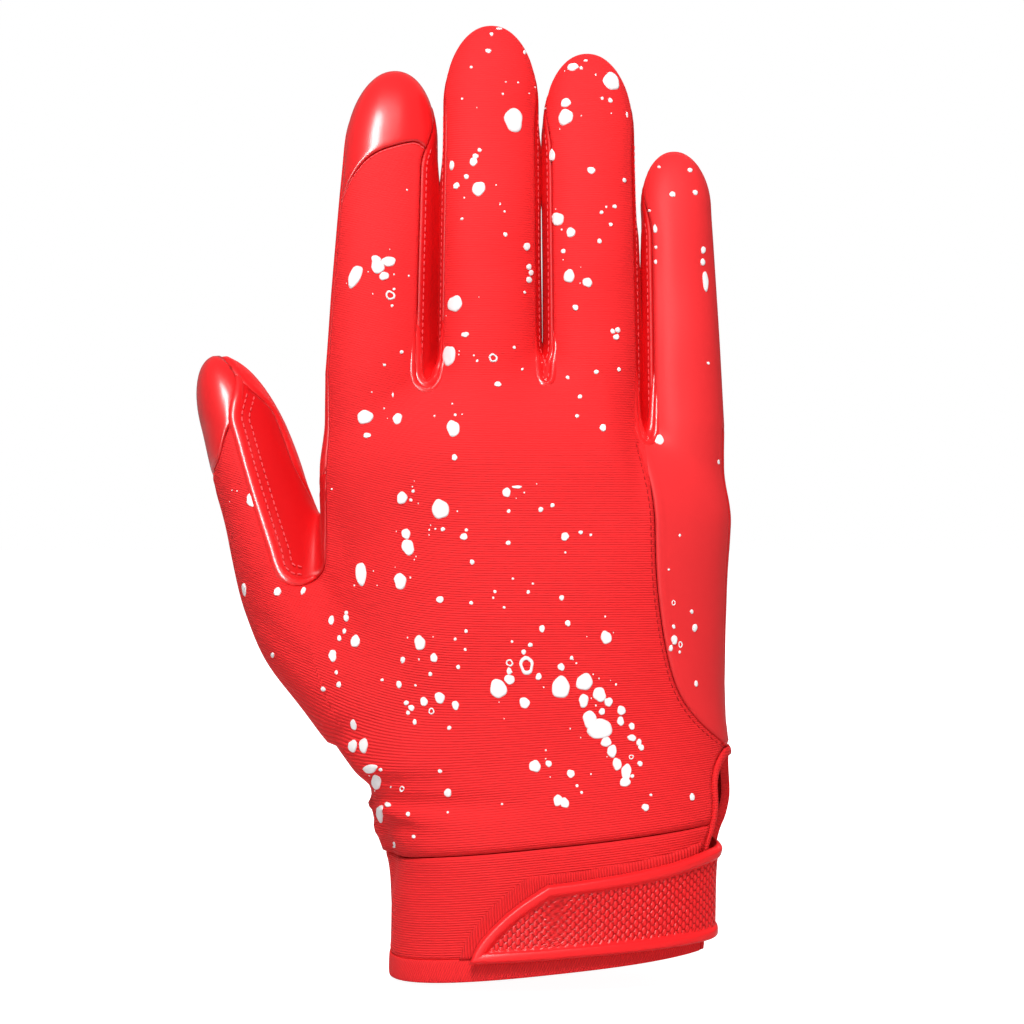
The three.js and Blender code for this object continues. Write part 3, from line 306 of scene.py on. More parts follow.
# point of the hand's section at an angle from the middle of its back
def handPoint(angle, z):
    mid, half, back, palm, arch = handSection(z)
    across = signedPower(np.sin(angle * degree), 2 / hand["square"])
    deep = signedPower(np.cos(angle * degree), 2 / hand["square"])
    centre = arch * np.minimum(across * across, 1.4)
    return stack(mid + half * across, centre - deep * np.where(deep > 0, back, palm), z)


# point of the outer face on the ray from the hand's middle through its section's point
def handFace(angle, z):
    angle, z = np.broadcast_arrays(np.asarray(angle, float), np.asarray(z, float))
    through = handPoint(angle, z)
    mid, _, _, _, arch = handSection(z)
    return castFrom(stack(mix(mid, through[..., 0], 0.78), arch * 0.6, z), through)


# point at a distance across and into a limb's section, turned about the upright
def limbToFrame(limb, across, deep, z):
    midX, midY = limbSection(limb, z)[:2]
    cos, sin = math.cos(limb["turn"]), math.sin(limb["turn"])
    return stack(midX + across * cos - deep * sin, midY + across * sin + deep * cos, z)


# superellipse round a limb's section, drawn in to a quarter circle over the fingertip
def limbPoint(limb, angle, z):
    _, _, half, depth = limbSection(limb, z)
    up = np.maximum(0, (z - limb["tipStart"]) / limb["tipRound"])
    rim = np.sqrt(np.maximum(0, 1 - up * up))
    return limbToFrame(limb, half * rim * signedPower(np.sin(angle * degree), 2 / fingerSquare),
                       -depth * rim * signedPower(np.cos(angle * degree), 2 / fingerSquare), z)


# the seams of a limb as angles round it; they come together at the sides under the tip
tipTurn = 45 * degree
sideOf = {"backRadial": -90, "backUlnar": 90, "palmUlnar": 90, "palmRadial": 270}


# level where the strips beside a fingertip end
def sideEnd(limb):
    return limb["tipStart"] + limb["tipRound"] * math.sin(tipTurn)


# a seam keeps its angle round the limb and eases to the side over its last 28 hundredths
def seamAngle(limb, name, share):
    start = limb["palmRadial"] + 360 if name == "palmRadial" else limb[name]
    if limb is thumb and name == "palmUlnar":
        start = mix(crotch["innerSeam"], start, ease(share / 0.4))
    return mix(start, sideOf[name], ease((share - 0.72) / 0.28))


stripRows, tipSeamRow = 9, 6
evenLimit = tipSeamRow / stripRows
index["tipSeam"] = curveThrough([0, 0.25, 0.5, 0.8, 1], [0.60, 0.70, 0.77, 0.81, 0.79])
thumb["tipSeam"] = curveThrough([0, 0.4, 0.7, 0.9, 1], [0.42, 0.44, 0.53, 0.68, 0.74])


# share of a limb's length where a seam meets the fingertip's cap
def seamLimit(limb, name):
    if "tipSeam" not in limb or name == "palmUlnar":
        return evenLimit
    return float(limb["tipSeam"](1 if name == "backUlnar" else 0))


# rows are even up to the tip seam and even again above it
def rowShare(j, limit):
    return np.where(j <= tipSeamRow, limit * j / tipSeamRow,
                    mix(limit, 1, (j - tipSeamRow) / (stripRows - tipSeamRow)))


# level where a limb's strips start, higher or lower towards a web at its side
def stripBase(limb, angle):
    if limb is thumb:
        return crotch["level"] + crotch["innerRise"] * ease(np.cos((angle - crotch["innerAngle"]) * degree))
    side = clamp01(0.5 + 0.5 * np.sin(angle * degree))
    step = limb["webUlnar"] - limb["webRadial"]
    return limb["base"] - hand["littleWebDrop"] * step * ease((side - 0.25) / 0.7)


# point of a limb's outer face at an angle and a share of its length
def stripPoint(limb, angle, share):
    z = mix(stripBase(limb, angle), sideEnd(limb), share)
    return settle(limbPoint(limb, angle, z))


# lower end of a limb's seam
def corner(limb, name):
    return stripPoint(limb, np.array([seamAngle(limb, name, 0.0)], float), 0.0)[0]


fine = 6  # every coarse column and row is divided into this many


# fine rows from 0 up to the last coarse one
def rowsUpTo(last):
    return np.unique(np.concatenate([np.arange(0, math.floor(last) * fine + 1) / fine, [last]]))


# rows of points between two seams of a limb, from its lower end to the start of its tip
def strip(limb, columns, fromSeam, toSeam, rows=None):
    t = np.linspace(0, 1, columns * fine + 1)[None, :]
    j = (rowsUpTo(stripRows) if rows is None else np.asarray(rows, float))[:, None]
    if fromSeam == "backRadial" and "tipSeam" in limb:
        limit = limb["tipSeam"](t)
    else:
        limit = mix(seamLimit(limb, fromSeam), seamLimit(limb, toSeam), t)
    share = rowShare(j, limit)
    back = 360 if fromSeam == "backRadial" and toSeam == "palmRadial" else 0
    angle = mix(seamAngle(limb, fromSeam, share), seamAngle(limb, toSeam, share) - back, t)
    return stripPoint(limb, angle, share)


# the rounded end: rows from the section under the tip up to the line round the fingertip;
# depth follows the superellipse that is left at that height, side is 1 for the back
def tipRows(limb, columns, side):
    start = sideEnd(limb)
    half = limbSection(limb, start)[2]
    t = np.linspace(0, 1, columns * fine + 1)[None, :]
    rise = (np.arange(1, 3 * fine + 1) / (3 * fine))[:, None]
    turn = mix(math.pi - tipTurn, tipTurn, t)
    low = half * math.cos(tipTurn) * signedPower(np.sin(mix(-90, 90, t) * degree), 2 / fingerSquare)
    across = mix(low, half * np.cos(turn), rise)
    z = mix(start, limb["tipStart"] + limb["tipRound"] * np.sin(turn), rise)
    _, _, halfHere, depthHere = limbSection(limb, z)
    up = np.maximum(0, (z - limb["tipStart"]) / limb["tipRound"])
    left = np.maximum(0, 1 - up * up) ** (fingerSquare / 2) - np.abs(across / halfHere) ** fingerSquare
    deep = depthHere * np.maximum(0, left) ** (1 / fingerSquare)
    grid = limbToFrame(limb, across, -side * deep, z)
    return grid if side > 0 else grid[:, ::-1]


# a strip and the rounded end on top of it
def fullTip(limb, columns, side, rows):
    return np.concatenate([rows, tipRows(limb, columns, side)])


webSteps, webDrop = 4, 3.8


# the U between two limbs: half a turn of a cosine across, a sine down, laid on the outer face
def webArc(start, end, drop, direction, skew=1.0):
    t = np.linspace(0, 1, webSteps * fine + 1) ** skew
    x = mix(start[0], end[0], (1 - np.cos(math.pi * t)) / 2)
    z = mix(start[2], end[2], t) - drop * np.sin(math.pi * t)
    y = mix(start[1], end[1], t)
    points = castFrom(stack(x, y - direction * 3, z), stack(x, y + direction * 7, z))
    points[0], points[-1] = start, end
    return points


handRows, gussetRow, slitRow = 6, 3, 4
littleWebLevel = webLevel - hand["littleWebDrop"]
wristLevels = np.array([0, 0.13, 0.2, 0.25, 0.285, 0.4, 0.55, 0.7, 0.85, 1])
sideSeamAngle = curveThrough([0, 0.05, 0.11, 0.19, 0.30, 0.45, 0.62, 0.82, 1],
                             [77, 62, 51, 43.5, 39, 36, 34, 33, 32])


# angle of the side cloth's front seam at a level
def backEdgeAngle(z):
    return sideSeamAngle((z - slit["top"]) / (littleWebLevel - webDrop - slit["top"]))


# angle of the palm's outer seam, eased over 30 mm above the slit
def palmEdgeAngle(z):
    return mix(slit["meetPalm"], crotch["ulnarAngle"], ease((z - slit["top"]) / 30))


# the slit's edge: straight, then a quarter ellipse up to where both edges meet
def slitEdgeAngle(meet, end, z):
    shut = 1 - clamp01((slit["top"] - z) / slit["arch"])
    return mix(meet, end, np.sqrt(1 - shut ** 2))


# outer edge of the back: the slit's edge and the side seam above it
def backOuterAngle(z):
    return np.where(z < slit["top"], slitEdgeAngle(slit["meetBack"], slit["back"], z), backEdgeAngle(z))


# outer edge of the palm: the slit's edge and the palm's seam above it
def palmOuterAngle(z):
    return np.where(z < slit["top"], slitEdgeAngle(slit["meetPalm"], slit["palm"], z), palmEdgeAngle(z))


# angle of the seam beside the thumb's gusset, eased over its rows
def gussetEdgeAngle(row):
    return mix(crotch["gussetAngle"], crotch["radialAngle"], ease(row / gussetRow))


# levels are even up to half height and even again up to the comb
def handRowLevel(row, start, top):
    halfway = (crotch["level"] + top) / 2
    return np.where(row <= gussetRow, mix(start, halfway, row / gussetRow),
                    mix(halfway, top, (row - gussetRow) / (handRows - gussetRow)))


# evens out a grid: inner points move to the mean of their four neighbours, then settle
def relaxed(grid, times=16):
    grid = grid.copy()
    for _ in range(times):
        grid[1:-1, 1:-1] = (grid[:-2, 1:-1] + grid[2:, 1:-1] + grid[1:-1, :-2] + grid[1:-1, 2:]) / 4
    grid[1:-1, 1:-1] = settle(grid[1:-1, 1:-1])
    return grid


# upper part of the hand: rows from the thumb's crotch up to the comb of strips and webs
def handRowsTo(comb, fromAngle, toAngle, startLevel):
    share = np.linspace(0, 1, len(comb))
    along = np.concatenate([[0], np.cumsum(np.linalg.norm(np.diff(comb, axis=0), axis=1))])
    j = rowsUpTo(handRows)[:-1, None]
    v = j / handRows
    z = handRowLevel(j, startLevel(share), comb[:, 2])
    slide = mix(share, along / along[-1], ease(v))
    face = handFace(mix(fromAngle(z, j), toAngle(z, j), slide), z)
    pull = (ease((v - 0.35) / 0.65) * 0.85 * ((share > 0) & (share < 1)))[..., None]
    moved = settle(mix(face, stack(comb[:, 0], comb[:, 1], z), pull))
    return relaxed(np.concatenate([np.where(pull > 0, moved, face), comb[None]]))


# levels down a hand panel's outer edge, one of them at the slit's end
def edgeLevels(x):
    return np.where(np.arange(10) == slitRow, slit["top"],
                    mix(cuffSeamAt(x), crotch["level"], wristLevels))


# lower part of the hand: rays slide from the hand's section at the cuff to the row at the
# thumb's crotch; the last quarter of the columns is drawn over to the slit's edge
def wristRowsTo(topRow, thumbEnd, bottomAngles, edgeAngle, onPalm):
    rows = rowsUpTo(9)[:-1]
    v = np.interp(rows, np.arange(10), wristLevels)[:, None]
    bottom = handFace(bottomAngles, cuffSeamLevel)
    z = mix(cuffSeamAt(bottom[:, 0]), topRow[:, 2], v)
    low = handPoint(np.broadcast_to(bottomAngles, z.shape), z)
    mid = handSection(z)[0]
    inX, inY = limbSection(thumb, z)[:2]
    topX, topY = limbSection(thumb, topRow[:, 2])[:2]
    count = np.arange(len(topRow))
    apart = ease((count - thumbEnd) / (webSteps * fine))
    shiftX = mix(inX - topX, (mid - handSection(topRow[:, 2])[0]) * 0.6, apart)
    shiftY = mix(inY - topY, 0, apart)
    high = stack(topRow[:, 0] + shiftX, topRow[:, 1] + shiftY, z)
    inner = (onPalm * ease((count / thumbEnd - 0.4) / 0.6))[:, None]
    inThumb = mix(stack(inX, inY, z), stack(high[..., 0], high[..., 1] - 9, z), inner)
    highInside = mix(inThumb, stack(mix(mid, high[..., 0], 0.8), 2, z), apart[:, None])
    lowInside = stack(mix(mid, low[..., 0], 0.7), 2, z)
    pull = ease(v)[..., None]
    grid = castFrom(mix(lowInside, highInside, pull), mix(low, high, pull))
    edgeZ = np.interp(rows, np.arange(10), edgeLevels(bottom[-1, 0]))
    edge = handFace(edgeAngle(edgeZ), edgeZ)
    drawn = ease((count / count[-1] - 0.75) / 0.25)[None, :, None]
    moved = settle(grid + (edge - grid[:, -1])[:, None] * drawn)
    grid = np.where(drawn > 0, moved, grid)
    grid[:, -1] = edge
    return relaxed(np.concatenate([grid, topRow[None]]))


# the fingers' lower edges and the webs between them as one line
def combOf(limbs, columns, fromSeam, toSeam, direction):
    parts = []
    for i, limb in enumerate(limbs):
        row = strip(limb, columns, fromSeam, toSeam, rows=[0])[0]
        parts.append(row if i == 0 else row[1:])
        if i + 1 < len(limbs):
            start, end = corner(limb, toSeam), corner(limbs[i + 1], fromSeam)
            parts.append(webArc(start, end, webDrop, direction)[1:])
    return np.concatenate(parts)


stripColumns, palmColumns, thumbColumns, sideColumns, gussetColumns = 6, 5, 7, 2, 5
lastWeb = webArc(corner(ring, "backUlnar"), corner(little, "backRadial"), webDrop, -1)
halfWeb = webSteps * fine // 2
backUpper = handRowsTo(
    np.concatenate([combOf([index, middle, ring], stripColumns, "backRadial", "backUlnar", -1),
                    lastWeb[1:halfWeb + 1]]),
    lambda z, row: crotch["radialAngle"], lambda z, row: backEdgeAngle(z), lambda share: crotch["level"])
palmUpper = handRowsTo(
    combOf(fingers[::-1], palmColumns, "palmUlnar", "palmRadial", 1),
    lambda z, row: palmEdgeAngle(z), lambda z, row: 360 + gussetEdgeAngle(row),
    lambda share: crotch["level"] + crotch["palmRise"] * ease(share))
thumbBack = strip(thumb, thumbColumns, "backRadial", "backUlnar")
thumbPalm = strip(thumb, thumbColumns, "palmUlnar", "palmRadial")
backCrotch = webArc(thumbBack[0, -1], backUpper[0, 0], crotch["drop"], -1, 0.75)
t = np.linspace(0, 1, webSteps * fine + 1)[:, None]
sag = np.sin(math.pi * t)
palmCrotch = mix(palmUpper[0, -1], thumbPalm[0, 0], t) + sag * np.array([0, 3, -crotch["palmDrop"]])
palmCrotch[1:-1] = settle(palmCrotch[1:-1])
print("seam lines of the hand worked out")


# grids of the back: hand, wrist, thumb, index and the two full fingers
def backPanelGrids():
    topRow = np.concatenate([thumbBack[0], backCrotch[1:-1], backUpper[0]])
    angles = np.linspace(crotch["cuffAngle"], slit["back"], len(topRow))
    lower = wristRowsTo(topRow, thumbColumns * fine, angles, backOuterAngle, 0)
    grids = [backUpper, lower, thumbBack[:tipSeamRow * fine + 1],
             strip(index, stripColumns, "backRadial", "backUlnar")[:tipSeamRow * fine + 1]]
    for f in (middle, ring):
        grids.append(fullTip(f, stripColumns, 1, strip(f, stripColumns, "backRadial", "backUlnar")))
    return grids


# grids of the palm: hand, wrist, thumb and four fingers
def palmPanelGrids():
    topRow = np.concatenate([palmUpper[0], palmCrotch[1:-1], thumbPalm[0]])[::-1]
    angles = np.linspace(crotch["cuffAngle"] + 360, slit["palm"], len(topRow))
    lower = wristRowsTo(topRow, thumbColumns * fine, angles, palmOuterAngle, 1)
    grids = [palmUpper, lower, fullTip(thumb, thumbColumns, -1, thumbPalm)]
    for f in fingers:
        grids.append(fullTip(f, palmColumns, -1, strip(f, palmColumns, "palmUlnar", "palmRadial")))
    return grids


# grid of a fingertip's cap
def tipGrids(limb, columns):
    return [fullTip(limb, columns, 1, strip(limb, columns, "backRadial", "backUlnar")[tipSeamRow * fine:])]


# the side cloth: rows between the back's and the palm's edges, up to the little finger's strip
def sidePanelGrids():
    shaft = strip(little, stripColumns, "backRadial", "backUlnar")
    comb = np.concatenate([lastWeb[halfWeb:-1], shaft[0]])
    share = np.linspace(0, 1, len(comb))
    spread = (comb[:, 0] - comb[0, 0]) / (comb[-1, 0] - comb[0, 0])

    def rowsBetween(left, right, z, v, top):
        slide = mix(share, spread, ease(v))
        face = handFace(mix(backEdgeAngle(z), palmEdgeAngle(z), slide), z)
        pull = (ease((v - 0.5) / 0.5) * 0.85 * top + 0 * share)[..., None]
        moved = settle(mix(face, stack(comb[:, 0], comb[:, 1], z), pull))
        grid = np.where(pull > 0, moved, face)
        for side, line, angle in ((0, left, backEdgeAngle), (1, right, palmEdgeAngle)):
            near = ease(1 - 5 * np.abs(share - side))[None, :, None]
            ends = grid[:, -1 if side else 0]
            grid = np.where(near > 0, settle(grid + (line - ends)[:, None] * near), grid)
            grid[:, -1 if side else 0] = line
        return grid

    low = rowsUpTo(9)
    low = low[(low >= slitRow) & (low < 9)]
    backZ = np.interp(low, np.arange(10), edgeLevels(handFace(slit["back"], cuffSeamLevel)[0]))
    palmZ = np.interp(low, np.arange(10), edgeLevels(handFace(slit["palm"], cuffSeamLevel)[0]))
    z = mix(backZ[:, None], palmZ[:, None], share)
    lower = rowsBetween(handFace(backOuterAngle(backZ), backZ), handFace(palmOuterAngle(palmZ), palmZ),
                        z, np.zeros((len(low), 1)), 0)
    j = rowsUpTo(handRows)[:-1, None]
    upper = rowsBetween(backUpper[:-1, -1], palmUpper[:-1, 0],
                        handRowLevel(j, crotch["level"], comb[:, 2]), j / handRows, 1)
    return [np.concatenate([lower, upper, comb[None]]), fullTip(little, stripColumns, 1, shaft)]


# rows across a web from the back's edge to the palm's: a straight mix, humped up and moved
# out in the middle by a half sine, then settled; the first coarse row leans on the strip's end
def webRows(onBack, onPalm, columns, hump, out, ends=()):
    s = np.linspace(0, 1, columns * fine + 1)[None, :, None]
    bow = np.sin(math.pi * s)
    rows = mix(onBack[:, None], onPalm[:, None], s)
    rows = settle(rows + bow * stack(-out, 0 * out, hump)[:, None])
    for edgeRow, at in ends:
        count = np.abs(np.arange(len(rows)) - (len(rows) - 1 if at else 0)) / fine
        moved = edgeRow + mix((onBack - onBack[-at])[:, None], (onPalm - onPalm[-at])[:, None], s)
        rows = mix(moved, rows, ease(count)[:, None, None])
    rows = settle(rows)
    rows[:, 0], rows[:, -1] = onBack, onPalm
    return rows


# one leg of a strip that lies between two fingers
def sideLeg(limb, columns, fromSeam, toSeam):
    return strip(limb, columns, fromSeam, toSeam, rows=rowsUpTo(stripRows - 0.3))


# down one finger, across the web as an arch and up the next finger
def sideStripGrids(near, far):
    down = sideLeg(near, sideColumns, "backUlnar", "palmUlnar")
    up = sideLeg(far, sideColumns, "backRadial", "palmRadial")
    onBack = webArc(corner(near, "backUlnar"), corner(far, "backRadial"), webDrop, -1)
    onPalm = webArc(corner(far, "palmRadial"), corner(near, "palmUlnar"), webDrop, 1)[::-1]
    turn = np.linspace(0, math.pi, len(onBack))
    web = webRows(onBack, onPalm, sideColumns, 2.5 * np.sin(turn), 0 * turn, ((down[0], 0), (up[0], 1)))
    return [relaxed(np.concatenate([down[::-1], web[1:-1], up]), 8)]


# down the thumb's inner side, across its web and up the hand's edge
def gussetGrids():
    down = sideLeg(thumb, gussetColumns, "backUlnar", "palmUlnar")
    j = np.linspace(0, webSteps, len(backCrotch))
    hump = np.interp(j, [0, 1, 3, 4], [0, 4, 4, 3])
    web = webRows(backCrotch, palmCrotch[::-1], gussetColumns, hump, 0 * j, ((down[0], 0),))
    j = rowsUpTo(gussetRow - 0.3)
    onBack = np.stack([np.interp(j, rowsUpTo(handRows), backUpper[:, 0, i]) for i in range(3)], axis=-1)
    onPalm = np.stack([np.interp(j, rowsUpTo(handRows), palmUpper[:, -1, i]) for i in range(3)], axis=-1)
    up = webRows(onBack, onPalm, gussetColumns, 3 - j, j)
    return [relaxed(np.concatenate([down[::-1], web[1:], up[1:]]), 30)]


# nearest of some points to each of many, as distance and index, worked out in blocks
def nearestOf(points, targets):
    far, which = [], []
    for start in range(0, len(points), 1500):
        gap = np.sum((points[start:start + 1500, None] - targets[None]) ** 2, axis=2)
        which.append(np.argmin(gap, axis=1))
        far.append(np.sqrt(np.min(gap, axis=1)))
    return np.concatenate(far), np.concatenate(which)


# two triangles for every cell of a grid of point numbers
def gridFaces(ids):
    a, b, c, d = ids[:-1, :-1], ids[:-1, 1:], ids[1:, :-1], ids[1:, 1:]
    return np.concatenate([np.stack([a, b, d], -1).reshape(-1, 3),
                           np.stack([a, d, c], -1).reshape(-1, 3)])


# triangles turned over where they face against their points' normals
def facingAlong(faces, points, normals):
    a, b, c = (points[faces[:, i]] for i in range(3))
    turn = np.cross(b - a, c - a)
    return faces[:, ::-1] if np.sum(turn * normals[faces[:, 0]]) < 0 else faces


# sheet of triangles out of point grids that share their edges; each grid is turned outwards
def sheetFrom(grids):
    points = np.concatenate([g.reshape(-1, 3) for g in grids])
    _, first, same = np.unique(np.round(points * 100).astype(np.int64), axis=0,
                               return_index=True, return_inverse=True)
    same = same.reshape(-1)
    points = points[first]
    normals = outwardAt(points)
    triangles, start = [], 0
    for g in grids:
        n, m = g.shape[:2]
        ids = same[start:start + n * m].reshape(n, m)
        start += n * m
        found = gridFaces(ids)
        a, b, c = found.T
        found = found[(a != b) & (b != c) & (c != a)]
        triangles.append(facingAlong(found, points, normals))
    return points, normals, np.concatenate(triangles)


# edges that only one triangle uses, in that triangle's sense
def rimOf(triangles, count):
    edges = np.concatenate([triangles[:, [0, 1]], triangles[:, [1, 2]], triangles[:, [2, 0]]])
    key = edges[:, 0].astype(np.int64) * count + edges[:, 1]
    back = edges[:, 1].astype(np.int64) * count + edges[:, 0]
    return edges[~np.isin(key, back)]


# a sheet and the same sheet count points further on, turned over, with a wall round their rims
def closedFaces(triangles, rim, count):
    wall = np.stack([rim[:, 1], rim[:, 0], rim[:, 0] + count, rim[:, 1] + count], axis=-1)
    return np.concatenate([triangles, triangles[:, ::-1] + count,
                           wall[:, [0, 1, 2]], wall[:, [0, 2, 3]]])


clothEdges = {}  # points on each cloth's rim with the way inwards


# a cloth: the sheet is drawn in at its rim by half a seam gap and given two faces; outer is
# called with the points and their distance to the rim and gives the outer face's height
def clothFrom(name, grids, inner, outer):
    points, normals, triangles = sheetFrom(grids)
    rim = rimOf(triangles, len(points))
    along = unit(points[rim[:, 1]] - points[rim[:, 0]])
    inwards = np.zeros_like(points)
    counts = np.zeros(len(points))
    for end in (0, 1):
        np.add.at(inwards, rim[:, end], unit(np.cross(normals[rim[:, end]], along)))
        np.add.at(counts, rim[:, end], 1)
    size = np.linalg.norm(inwards, axis=1)
    spread = np.maximum(0.35, size / np.maximum(counts, 1))
    atRim = counts > 0
    placed = points.copy()
    placed[atRim] += (inwards[atRim] / size[atRim, None]) * (seam["gap"] / 2 / spread[atRim, None])
    far = nearestOf(points, points[np.unique(rim)])[0]
    lift = outer(points, far)
    vertices = np.concatenate([placed + normals * lift[:, None], placed + normals * inner])
    clothEdges[name] = (points[atRim], inwards[atRim] / size[atRim, None])
    return (vertices, closedFaces(triangles, rim, len(points)),
            np.tile(far, 2), np.tile(points, (2, 1)))


# creases as lines on the front plane: from x, z to x, z, depth and half width
creases = [
    (-53, 52, -43, 39.5, 2.0, 1.7), (-48, 46, -27, 47.5, 1.7, 2.3), (-47, 38, -34, 36.5, 1.3, 1.6),
    (-52, 57, -40, 62, 0.7, 2.6), (-50, 101, -26, 105, 1.3, 9.0), (-70, 84, -58, 74, 0.6, 2.2),
    (-64, 92, -55, 84, 0.4, 1.8)]


# soft waves of a worn cloth, as a sum of slow sines through space, and its creases, each a bell
# curve of the distance to its line
def slackAt(p):
    x, y, z = p[:, 0], p[:, 1], p[:, 2]
    folds = 0
    for x0, z0, x1, z1, deep, width in creases:
        t = clamp01(((x - x0) * (x1 - x0) + (z - z0) * (z1 - z0)) / ((x1 - x0) ** 2 + (z1 - z0) ** 2))
        away = np.hypot(x - mix(x0, x1, t), z - mix(z0, z1, t))
        folds = folds - deep * np.exp(-(away / width) ** 2) * (1 - 0.6 * t) * ease((12 - y) / 8)
    return (folds + 0.16 * np.sin(z / 7.5 + x / 15 + 1.3) * np.sin(x / 10.5 + 0.4)
            + 0.10 * np.sin(z / 4.1 - x / 8.7 + y / 11) + 0.06 * np.sin(x / 3.9 + z / 5.3))


# groove at the seam, a low shoulder beside it and the cloth's slack farther in
def clothOuter(groove=1.0, slack=1.0):
    def outer(p, far):
        return (-seam["groove"] * groove * np.exp(-(far / seam["reach"]) ** 2)
                + seam["shoulder"] * groove * np.exp(
                    -((far - seam["shoulderAt"]) / seam["shoulderWidth"]) ** 2)
                + slack * slackAt(p) * ease(far / seam["slackFrom"]))
    return outer


# a strip between two fingers stands out by fill, eased in from its rim and between the levels low
# and top, less a share called thin over the middle of its length
def stripOuter(low, top, fill, thin):
    plain = clothOuter(0.9, 0.3)

    def outer(p, far):
        z = p[:, 2]
        kept = 1 - thin * ease((z - 140) / 6) * ease((188 - z) / 6)
        return (plain(p, far) + fill * kept * ease((far - 2.2) / 3.5) * ease((top - z) / 12)
                * ease((z - low) / 5))
    return outer


# how far along the cloth a point lies, across its ribs: level, tilted at the cuff and the thumb
def ribAt(p):
    x, z = p[:, 0], p[:, 2]
    thumbSide = 6 * np.log1p(np.exp(np.clip((-34 - x) / 6, -30, 30)))
    atCuff = 1 - ease((z - 32) / 55)
    return z - 0.34 * thumbSide * ease((z - 40) / 30) - cuff["tilt"] * x / cuff["width"] * atCuff


# a mesh in metres with its fields, riding on the body and taking the finish of a slot
def makeMesh(name, vertices, faces, material, fields):
    mesh = bpy.data.meshes.new(name)
    mesh.vertices.add(len(vertices))
    mesh.vertices.foreach_set("co", (np.asarray(vertices) * 0.001).astype(np.float32).ravel())
    sides = faces.shape[1]
    mesh.loops.add(faces.size)
    mesh.loops.foreach_set("vertex_index", faces.astype(np.int32).ravel())
    mesh.polygons.add(len(faces))
    mesh.polygons.foreach_set("loop_start", np.arange(0, faces.size, sides, dtype=np.int32))
    mesh.update(calc_edges=True)
    mesh.polygons.foreach_set("use_smooth", np.full(len(faces), True))
    for key, values in fields.items():
        mesh.attributes.new(key, "FLOAT", "POINT").data.foreach_set("value", values.astype(np.float32))
    mesh.materials.append(material)
    piece = bpy.data.objects.new(name, mesh)
    bpy.context.scene.collection.objects.link(piece)
    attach(piece, "root")
    return piece


# helpers for one node tree: feed puts a value or another node's output into a socket, and add
# makes a node, feeds its sockets and gives back one of its outputs
def nodeMaker(owner, last="Principled BSDF"):
    owner.use_nodes = True
    tree = owner.node_tree

    def feed(socket, source):
        if isinstance(source, bpy.types.NodeSocket):
            tree.links.new(source, socket)
        else:
            socket.default_value = source

    def add(kind, sockets, output, **settings):
        node = tree.nodes.new(kind)
        for key, value in settings.items():
            setattr(node, key, value)
        for key, source in sockets.items():
            feed(node.inputs[key], source)
        return node.outputs[output]

    return tree.nodes[last], feed, add


# cloth: colour wanders between two reds with slow noise, with painted shade in the rib furrows
# and along the seams; ribs are a sine of the "rib" field, broken up by noise along the row
def clothMaterial(name, look):
    material = bpy.data.materials.new(name)
    shader, feed, add = nodeMaker(material)
    place = add("ShaderNodeTexCoord", {}, "Object")

    def noise(scale, detail):
        return add("ShaderNodeTexNoise", {"Vector": place, "Scale": scale, "Detail": detail}, "Fac")

    def ranged(value, low, high, toLow, toHigh):
        return add("ShaderNodeMapRange", {"Value": value, "From Min": low, "From Max": high,
                                          "To Min": toLow, "To Max": toHigh}, "Result")

    def sums(operation, *values):
        return add("ShaderNodeMath", dict(enumerate(values)), 0, operation=operation)

    def blended(factor, a, b):
        return add("ShaderNodeMix", {"Factor": factor, "A": a, "B": b}, "Result", data_type="RGBA")

    def field(called):
        return add("ShaderNodeAttribute", {}, "Fac", attribute_name=called)

    patches = ranged(noise(look["patchScale"], 3), 0.35, 0.65, 0, 1)
    reds = blended(patches, (*look["red"], 1), (*look["otherRed"], 1))
    grain = noise(look["grainScale"], 2)
    wander = sums("MULTIPLY_ADD", grain, look["ribWander"], field("rib"))
    crest = sums("SINE", sums("MULTIPLY", wander, 2 * math.pi / look["ribPitch"]))
    # the ribs, and the shade painted in their furrows, fade out higher up over the fingers, where the light
    # is brighter
    level = add("ShaderNodeSeparateXYZ", {0: place}, "Z")
    wave = sums("MULTIPLY", crest, ranged(level, *look["ribFade"], 1, look["ribTop"]))
    height = sums("MULTIPLY_ADD", wave, 0.5 * look["ribHeight"],
                  sums("MULTIPLY", grain, look["grainHeight"]))
    bump = add("ShaderNodeBump", {"Strength": look["bump"], "Distance": look["bumpHeight"],
                                  "Height": height}, "Normal")
    # painted shade: rib furrows and seam edges are mixed towards a darker red
    furrowShade = ranged(wave, -1, 0.2, look["furrowShade"], 0)
    edgeShade = ranged(field("border"), 0.2, 1.6, look["seamShade"], 0)
    red = blended(sums("MAXIMUM", furrowShade, edgeShade), reds, (*look["shadeColour"], 1))
    rough = ranged(grain, 0, 1, look["roughness"] - look["roughSpread"],
                   look["roughness"] + look["roughSpread"])
    for socket, source in {
            "Normal": bump, "Base Color": red, "Roughness": rough, "Sheen Weight": look["sheen"],
            "Sheen Roughness": 0.4, "Sheen Tint": (1, 0.45, 0.45, 1),
            "Specular IOR Level": look["specular"], "Coat Weight": look["coat"],
            "Coat Roughness": look["coatRoughness"]}.items():
        feed(shader.inputs[socket], source)
    return material
